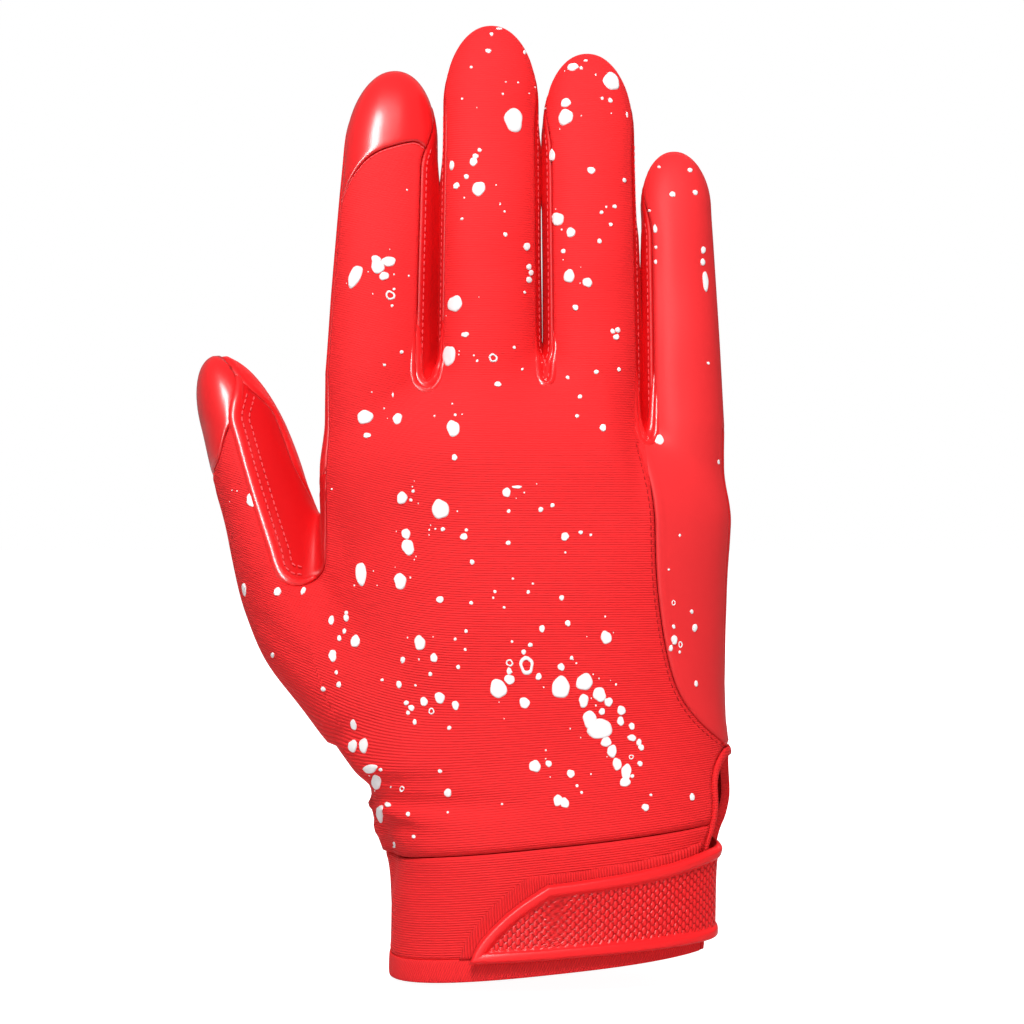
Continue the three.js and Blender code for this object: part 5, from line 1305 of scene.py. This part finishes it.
# printed drops on the front plane: x, z, half width, half height and a turn in degrees
drops = [
    (-36.6, 113.4, 1.32, 1.44), (-33.9, 115, 0.43, 0.43), (-34.5, 112.9, 0.43, 0.43),
    (-27.4, 110.7, 1.99, 2.47), (-26.8, 105.9, 0.55, 0.55), (-28.6, 106, 0.26, 0.26),
    (-35.8, 104.8, 1.06, 1.32), (-35.3, 101.6, 1.58, 1.87, -20), (-46.8, 95.2, 1.54, 2.69, -10),
    (-37, 93.4, 1.54, 1.9), (-27.4, 89, 0.86, 0.86), (-19.9, 88.2, 0.48, 0.48), (-19.7, 98, 0.62, 0.62),
    (-21.7, 104.1, 0.86, 0.86), (-21.1, 105.7, 0.43, 0.43), (-11.4, 114.7, 1.06, 1.06),
    (-8.9, 116, 1.32, 0.34), (-10.9, 110.2, 0.48, 0.48), (-11, 102.6, 0.6, 0.6), (-3.2, 110.6, 0.65, 0.65),
    (-0.4, 111.6, 0.55, 0.55), (2.6, 104.1, 0.98, 0.98), (6.4, 105.1, 0.53, 0.53),
    (8.8, 104.5, 0.36, 0.36), (2.7, 100.3, 0.29, 0.29), (-9.9, 94, 0.31, 0.31), (-5.1, 92.8, 0.29, 0.29),
    (-6.2, 90.8, 0.46, 0.46), (-14.2, 90.9, 0.41, 0.41), (-14.6, 89.4, 0.29, 0.29),
    (-12, 87.1, 0.36, 0.36), (1.8, 89.4, 0.65, 0.65), (3.3, 83.3, 0.67, 0.79), (-2.9, 82, 0.72, 0.82),
    (12.5, 79.9, 1.27, 1.61), (-21.1, 81.4, 0.46, 0.46), (-23.7, 79.5, 0.38, 0.38),
    (-21.3, 77, 0.38, 0.38), (-47.7, 79, 1.08, 1.56), (-49.9, 84.6, 0.65, 0.94), (-49.9, 85.8, 0.43, 0.58),
    (-53.4, 84, 0.72, 1.08), (-50.3, 81.4, 0.48, 0.67), (-51.5, 79.7, 0.58, 0.72),
    (-53.1, 75.5, 1.01, 1.37), (-52.2, 71.5, 0.46, 0.53), (-51.6, 68.6, 0.58, 0.82),
    (-55.4, 67.5, 0.62, 0.62), (-32.2, 78.6, 1.37, 1.73), (-28.8, 75, 0.91, 1.01),
    (-36.3, 74.5, 0.62, 0.77), (-23, 72.8, 0.46, 0.62), (-29.7, 71.1, 0.53, 0.53),
    (-37.2, 68.6, 0.67, 0.91), (-41.2, 69.7, 0.38, 0.38), (-33.3, 68.4, 0.31, 0.31),
    (-27.5, 65.4, 1.15, 1.44), (-31.3, 64.5, 0.84, 1.15), (-23.7, 63.6, 0.89, 1.06),
    (-35.5, 64.2, 0.62, 0.62), (-34.3, 63, 0.72, 0.72), (-35.1, 61.8, 0.53, 0.53),
    (-33.5, 59.6, 0.53, 0.67), (-25.2, 58.2, 0.53, 0.53), (-48.4, 58.8, 0.82, 1.27),
    (-48.6, 53.7, 1.2, 1.51), (-45.9, 53.9, 1.2, 1.75), (-13.4, 67.6, 1.92, 2.35), (-10.7, 69.8, 1.2, 1.2),
    (-10.8, 71.8, 0.58, 0.96), (-7.3, 76.4, 0.62, 0.62), (-5.7, 78.1, 0.58, 0.58),
    (-10.1, 78.9, 0.34, 0.34), (-3.7, 70.5, 0.72, 0.82), (-7.1, 64.2, 1.18, 1.37), (1.6, 67.9, 2.28, 2.47),
    (7.3, 69.2, 1.92, 2.09), (1.7, 72.8, 0.82, 0.91), (4.2, 75, 0.48, 0.48), (10.9, 66.2, 1.58, 1.73),
    (7.1, 64.7, 1.2, 1.56), (11.5, 62.1, 0.79, 0.79), (13.1, 64.4, 0.96, 1.13),
    (11, 57.9, 3.12, 2.28, -20), (8.6, 60.1, 1.68, 2.16), (12.5, 54.8, 1.2, 1.2), (13.9, 52.6, 1.2, 1.44),
    (15.1, 49.5, 1.08, 1.44), (17.3, 47.6, 1.2, 1.92), (17, 45.2, 1.2, 1.2), (20.9, 53.5, 0.72, 0.72),
    (20.6, 49.6, 0.65, 0.65), (18.7, 46.6, 0.48, 0.48), (16.2, 62.4, 0.96, 1.2), (16, 59.8, 0.86, 1.06),
    (18.7, 58.6, 0.72, 0.82), (18.7, 55.8, 1.06, 0.77), (20.4, 54.7, 0.67, 0.86), (-4.6, 49, 1.32, 1.49),
    (-1.3, 49.6, 0.77, 0.77), (4, 47.2, 0.89, 1.01), (0.9, 40.8, 1.08, 1.32), (2.5, 40.2, 1.08, 1.2),
    (5.5, 44.3, 0.38, 0.38), (6.6, 42.7, 0.36, 0.36), (21.9, 39.1, 0.86, 0.86), (23.2, 42.1, 0.36, 0.36),
    (33.2, 41.6, 0.65, 0.89), (-25.5, 42.6, 0.84, 1.08), (-27.4, 47.8, 0.53, 0.53),
    (-39.9, 39.8, 0.72, 0.6), (-35.1, 37.5, 0.48, 0.6), (-41.8, 48.1, 0.48, 0.48),
    (-25.5, 37.9, 0.29, 0.29), (-12.5, 39.9, 0.29, 0.29), (-33.8, 32.1, 0.48, 0.48),
    (-38.2, 30.1, 0.53, 1.08), (-44.5, 48.2, 2.09, 1.08, -20), (-43.7, 44.4, 1.32, 2.4),
    (-42.8, 37.4, 1.2, 3), (-72.5, 112.9, 1.44, 1.68), (-74.5, 91.4, 0.65, 1.68),
    (-66.4, 90.9, 0.94, 1.03), (-60.2, 91.1, 0.62, 0.96, 30), (-70.1, 76.1, 0.84, 2.64, -35),
    (-67.5, 75.7, 0.53, 0.67), (-45.4, 132.8, 1.87, 1.78), (-37.6, 132.4, 1.15, 1.34),
    (-44.9, 128.4, 1.03, 0.6), (-24.2, 130, 1.61, 1.92), (-23.9, 123.1, 0.72, 0.72),
    (-36.6, 148.4, 0.48, 0.48), (-40.7, 145.3, 0.41, 0.34), (-38.7, 138.1, 0.26, 0.58),
    (-23.7, 133.2, 0.36, 0.36), (-53.3, 115.5, 0.26, 0.26), (-47.7, 166.5, 1.56, 2.76, 25),
    (-42.7, 170.5, 1.13, 1.13), (-42.3, 168.9, 1.68, 1.68), (-39.7, 170.1, 1.61, 1.32),
    (-40.8, 166.6, 1.2, 1.03), (-38.9, 159.5, 0.38, 0.38), (-38.4, 163.5, 0.36, 0.36),
    (-35.3, 187.3, 0.24, 0.24), (-9.6, 204.1, 2.4, 2.88), (-15.8, 220.6, 0.72, 0.58),
    (-15, 224.5, 0.48, 0.48), (-13.2, 225.8, 0.77, 0.29), (-19.9, 216.8, 0.38, 0.38),
    (-7, 220.4, 0.38, 0.72), (-11.6, 213.2, 0.24, 0.24), (-8.7, 213, 0.24, 0.24),
    (-12.3, 210.3, 0.29, 0.29), (-22.1, 209.2, 0.29, 0.29), (-17.9, 196.9, 0.53, 0.53),
    (-18.9, 195.4, 0.72, 0.72), (-19.4, 194.1, 1.01, 1.01), (-21.1, 190.5, 0.65, 0.65),
    (-23.5, 188.3, 0.72, 0.82), (-18.1, 187.6, 1.68, 1.73), (-24.6, 193.2, 0.6, 1.2),
    (-22, 180.3, 0.38, 0.38), (-21.5, 185.4, 0.24, 0.24), (-11.9, 182.1, 0.29, 0.29),
    (-11.7, 176.6, 0.55, 0.55), (-6.5, 173.7, 0.79, 0.96), (-6, 168.8, 0.62, 0.82),
    (-5.5, 167.4, 0.58, 0.72), (-6, 165.7, 0.67, 0.86), (-7.1, 162.7, 0.36, 0.36), (-24, 160, 1.75, 2.06),
    (-21.4, 152.6, 0.91, 0.67), (-25.3, 147.5, 1.44, 2.64), (-9.5, 149.5, 0.41, 0.41),
    (-7.6, 144.3, 0.34, 0.34), (-19.3, 147.6, 0.24, 0.24), (-18.5, 146.3, 0.34, 0.34),
    (-13.5, 140.7, 0.84, 0.67), (4.4, 216.9, 1.37, 1.2), (7.6, 218.4, 0.53, 0.38),
    (6.5, 216.6, 0.48, 0.48), (13.9, 213.5, 1.97, 2.59, -25), (13.6, 208.9, 0.62, 0.62),
    (11.6, 209.4, 0.41, 0.41), (2.8, 208.2, 1.2, 1.2), (2.7, 204.8, 1.85, 2.02), (-0.5, 195.6, 0.72, 1.61),
    (17.7, 205.4, 0.34, 0.96), (8.9, 191.9, 1.03, 0.84), (16.8, 189.6, 0.48, 0.6),
    (14.5, 183.3, 0.53, 0.53), (12.5, 183.2, 0.29, 0.29), (11.4, 181.9, 0.48, 0.48),
    (13.6, 179, 0.48, 0.48), (10.9, 175, 0.55, 0.65), (0.8, 180.3, 1.44, 1.68), (4, 177.1, 1.15, 1.15),
    (2.2, 172.6, 0.55, 0.65), (3.6, 166.6, 1.39, 1.54), (8, 165.1, 1.15, 1.2), (5.1, 159.1, 0.72, 0.72),
    (14.1, 153.4, 0.62, 0.62), (15.3, 153.7, 0.67, 0.67), (14.9, 152, 0.72, 0.72),
    (10.1, 143.6, 0.62, 0.62), (15.5, 144.2, 0.43, 0.6), (6.2, 137.6, 0.55, 0.55), (39.5, 122, 0.31, 0.6),
    (30.1, 104.4, 0.29, 0.41), (27.5, 96.2, 0.29, 0.29), (33.1, 86.1, 0.41, 0.58),
    (28.7, 82.5, 0.43, 0.58), (33.8, 82.2, 0.65, 1.01), (28.8, 79.3, 0.72, 1.25), (28, 77.3, 0.46, 0.82),
    (30.1, 76.4, 0.29, 0.43), (34.1, 68.8, 0.48, 0.77), (25.2, 127.3, 1.1, 1.32), (5.5, 133, 0.48, 0.48),
    (11.7, 130.2, 0.72, 0.96), (3.3, 142.2, 0.48, 0.48), (25.2, 192.8, 0.4, 0.4),
    (32.6, 192, 0.62, 0.62), (28.4, 186.3, 0.74, 0.74), (33.9, 186.7, 0.66, 0.7),
    (24.3, 177.9, 0.5, 1.1), (23, 177, 0.48, 0.48), (22.9, 182.3, 0.36, 0.36),
    (24.5, 173.5, 0.4, 0.4), (24.4, 170, 0.35, 0.65), (35.9, 172.9, 0.6, 1), (35.8, 170, 0.6, 1),
    (36.4, 165.4, 0.75, 2.5), (37, 145.7, 0.36, 0.4),
]
hollowDrops = [
    (-6.6, 73.2, 1.8, 2.16), (-29.5, 62.2, 0.77, 0.77), (-10.7, 73.8, 0.89, 0.89), (18.5, 51.2, 0.6, 0.6),
    (-36.8, 43.2, 0.65, 0.65), (-39.3, 162, 1.2, 1.2), (-14.6, 147, 1.1, 1.1), (28.7, 88.2, 0.53, 0.65),
    (30.3, 78.2, 0.53, 0.79),
]


eye = np.array([-10.1, -550.0, 110.0])  # the camera's place in millimetres


# first point of the outer face on the sight line through each point of the front plane
def seenAt(x, z):
    aim = stack(x, 0, z)
    along = (aim - eye) / -eye[1]
    start = aim - along * 60
    depth = np.full(len(aim), np.inf)
    for s in range(100):
        inside = form(start + along * s) < 0
        depth = np.where(inside & np.isinf(depth), s, depth)
    found = np.isfinite(depth)
    start, along, depth = start[found], along[found], depth[found]
    near, far = depth - 1, depth
    for _ in range(12):
        halfway = (near + far) / 2
        inside = form(start + along * halfway[:, None]) < 0
        near, far = np.where(inside, near, halfway), np.where(inside, halfway, far)
    return start + along * far[:, None], found


# how far inside a cloth's rim each point lies, below zero when it is outside
def insetIn(name, points):
    edge, inwards = clothEdges[name]
    far, which = nearestOf(points, edge)
    return np.where(np.sum((points - edge[which]) * inwards[which], axis=1) > 0, far, -far)


ink = {"height": 0.26, "sink": 0.25, "wobble": 0.07, "keep": 0.45, "specksEach": 3,
       "bigDrop": 1.2, "speckReach": (1.6, 4.0), "speckSize": (0.13, 0.30),
       "fullHeightFrom": 0.7, "seed": 11}
sprinkle = np.random.default_rng(ink["seed"])
specks = []
for x, z, wide in [d[:3] for d in drops if d[2] > ink["bigDrop"]]:
    for _ in range(ink["specksEach"]):
        a, r = sprinkle.uniform(0, 2 * math.pi), wide * sprinkle.uniform(*ink["speckReach"])
        size = sprinkle.uniform(*ink["speckSize"])
        specks.append((x + r * math.cos(a), z + r * math.sin(a), size, size * sprinkle.uniform(1, 1.4)))


# mesh of drops: rings of points round each centre, kept inside the cloth, with a raised plateau
# whose edge falls below the cloth; first is the innermost ring's share of the radius
def dropMesh(table, sides, shares, heights, solid):
    table = np.array([tuple(d) + (0,) * (5 - len(d)) for d in table])
    centre, found = seenAt(table[:, 0], table[:, 1])
    table = table[found]
    insets = np.stack([insetIn(name, centre) for name in ("back_cloth", "side_cloth")])
    home = np.argmax(insets, axis=0)
    kept = np.max(insets, axis=0) > ink["keep"]
    table, centre, home = table[kept], centre[kept], home[kept]
    normal = outwardAt(centre)
    count = len(table)
    phase = sprinkle.uniform(0, 2 * math.pi, (3, count, 1))
    a = np.linspace(0, 2 * math.pi, sides + 1)[None, :-1]
    rim = 1 + ink["wobble"] * (np.sin(2 * a + phase[0]) + 0.7 * np.sin(3 * a + phase[1])
                               + 0.5 * np.sin(5 * a + phase[2]))
    tilt = table[:, 4:5] * degree
    wide, high = table[:, 2:3] * rim * np.cos(a), table[:, 3:4] * rim * np.sin(a)
    dx, dz = wide * np.cos(tilt) + high * np.sin(tilt), high * np.cos(tilt) - wide * np.sin(tilt)

    def placed(share):
        x, z = dx * share, dz * share
        y = -(normal[:, :1] * x + normal[:, 2:] * z) / np.minimum(normal[:, 1:2], -0.3)
        return settle(centre[:, None] + np.stack([x, y, z], axis=-1))

    limit = np.full((count, sides), 0.02)
    for share in (0.15, 0.3, 0.45, 0.6, 0.7, 0.8, 0.9, 1.0):
        points = placed(share).reshape(-1, 3)
        both = np.stack([insetIn(name, points) for name in ("back_cloth", "side_cloth")])
        inset = both[np.repeat(home, sides), np.arange(count * sides)].reshape(count, sides)
        limit = np.where(inset > ink["keep"], share, limit)
    dx, dz = dx * limit, dz * limit
    rings = [placed(share) for share in shares]
    points = np.concatenate([centre[:, None]] + rings, axis=1)
    flat = points.reshape(-1, 3)
    side = np.repeat(home, points.shape[1]) == 1
    inset = np.where(side, insetIn("side_cloth", flat), insetIn("back_cloth", flat))
    lift = clothOuter()(flat, np.maximum(inset, 0))
    standing = np.concatenate([[ink["height"]], np.repeat(heights, sides)])
    small = np.minimum(1, np.minimum(table[:, 2], table[:, 3]) / ink["fullHeightFrom"])[:, None]
    rise = np.where(standing > 0, standing * small, standing)
    flat = flat + outwardAt(flat) * (lift + rise.reshape(-1))[:, None]
    # painted shade on each drop's rim: the "border" field falls towards the outer rings, where the greyed
    # pink shows
    border = np.tile(np.concatenate([[9.0], np.repeat(1.7 - 1.6 * np.array(shares) ** 6, sides)]), count)
    k = np.arange(sides)
    nextK = (k + 1) % sides
    faces = []
    if solid:
        faces.append(np.stack([0 * k, 1 + k, 1 + nextK], -1))
    for r in range(len(shares) - 1):
        low, up = 1 + r * sides, 1 + (r + 1) * sides
        faces.append(np.stack([low + k, up + k, up + nextK], -1))
        faces.append(np.stack([low + k, up + nextK, low + nextK], -1))
    size = points.shape[1]
    one = facingAlong(np.concatenate(faces), points[0], np.tile(normal[0], (size, 1)))
    faces = copiesOf(one, count, size)
    if not solid:
        used = np.arange(count * size) % size > 0
        newNumber = np.cumsum(used) - 1
        flat, border, faces = flat[used], border[used], newNumber[faces]
    return flat, faces, border


top, sink = ink["height"], -ink["sink"]
sets = [dropMesh([d for d in drops if d[2] > 0.7], 28, (0.35, 0.7, 0.86, 0.95, 1.0),
                 (top, top, top * 0.9, top * 0.45, sink), True),
        dropMesh([d for d in drops if d[2] <= 0.7], 14, (0.6, 0.9, 1.0), (top, top * 0.6, sink), True),
        dropMesh(specks, 8, (0.7, 1.0), (top * 0.8, sink), True),
        dropMesh(hollowDrops, 28, (0.52, 0.58, 0.75, 0.92, 1.0),
                 (sink, top * 0.6, top, top * 0.6, sink), False)]
vertices, faces = joined([(v, f) for v, f, _ in sets])
makeMesh("splatter_drops", vertices, faces, inkPaint,
         {"rib": vertices[:, 2], "border": np.concatenate([b for _, _, b in sets])})
print("splatter made", len(faces))

room = {"lens": 80.57, "floorTone": 0.5, "floorGlow": 0.96, "worldTone": 0.18}
camera = bpy.data.objects.new("camera", bpy.data.cameras.new("camera"))
camera.location = eye * 0.001
camera.rotation_euler = (math.pi / 2, 0, 0)
camera.data.lens = room["lens"]
camera.data.sensor_width = 36
camera.data.clip_start = 0.01
bpy.context.scene.collection.objects.link(camera)
bpy.context.scene.camera = camera

floorMesh = bpy.data.meshes.new("floor")
floorMesh.from_pydata([(-6, -6, -0.0006), (6, -6, -0.0006), (6, 6, -0.0006), (-6, 6, -0.0006)], [],
                      [(0, 1, 2, 3)])
floor = bpy.data.objects.new("floor", floorMesh)
bpy.context.scene.collection.objects.link(floor)
floorPaint = bpy.data.materials.new("floor_paint")
shader, feed, add = nodeMaker(floorPaint)
seen = add("ShaderNodeLightPath", {}, "Is Camera Ray")
glow = add("ShaderNodeMath", {0: seen, 1: room["floorGlow"]}, 0, operation="MULTIPLY")
for socket, source in {"Base Color": (room["floorTone"],) * 3 + (1,), "Roughness": 0.9,
                       "Emission Color": (1, 1, 1, 1), "Emission Strength": glow}.items():
    feed(shader.inputs[socket], source)
floorMesh.materials.append(floorPaint)

# white behind the object, softer grey as a light on it
world = bpy.data.worlds.new("studio")
bpy.context.scene.world = world
background, feed, add = nodeMaker(world, "Background")
seen = add("ShaderNodeLightPath", {}, "Is Camera Ray")
tone = add("ShaderNodeMix", {"Factor": seen, "A": room["worldTone"], "B": 1.0}, "Result")
feed(background.inputs["Strength"], tone)
feed(background.inputs["Color"], (1, 1, 1, 1))

# size, place and power of each soft light; all face the glove
lights = {"front": (0.8, 0.8, (-0.20, -1.05, 1.55), 35), "streak": (0.40, 1.9, (-0.80, -1.35, 0.85), 80),
          "fill": (0.9, 0.9, (0.3, -1.5, 0.0), 8), "back": (1.2, 1.2, (0.2, 1.5, 0.9), 22)}
for name, (wide, high, place, power) in lights.items():
    lamp = bpy.data.lights.new(name, "AREA")
    lamp.shape = "RECTANGLE"
    lamp.size, lamp.size_y, lamp.energy = wide, high, power
    holder = bpy.data.objects.new(name, lamp)
    holder.location = place
    away = Vector(place) - Vector((-0.01, 0, 0.115))
    holder.rotation_euler = away.to_track_quat("Z", "Y").to_euler()
    # the narrow light is only mirrored, the others only light
    holder.visible_glossy = name == "streak"
    holder.visible_diffuse = name != "streak"
    bpy.context.scene.collection.objects.link(holder)

bpy.context.scene.view_settings.view_transform = "Standard"
print("scene ready")
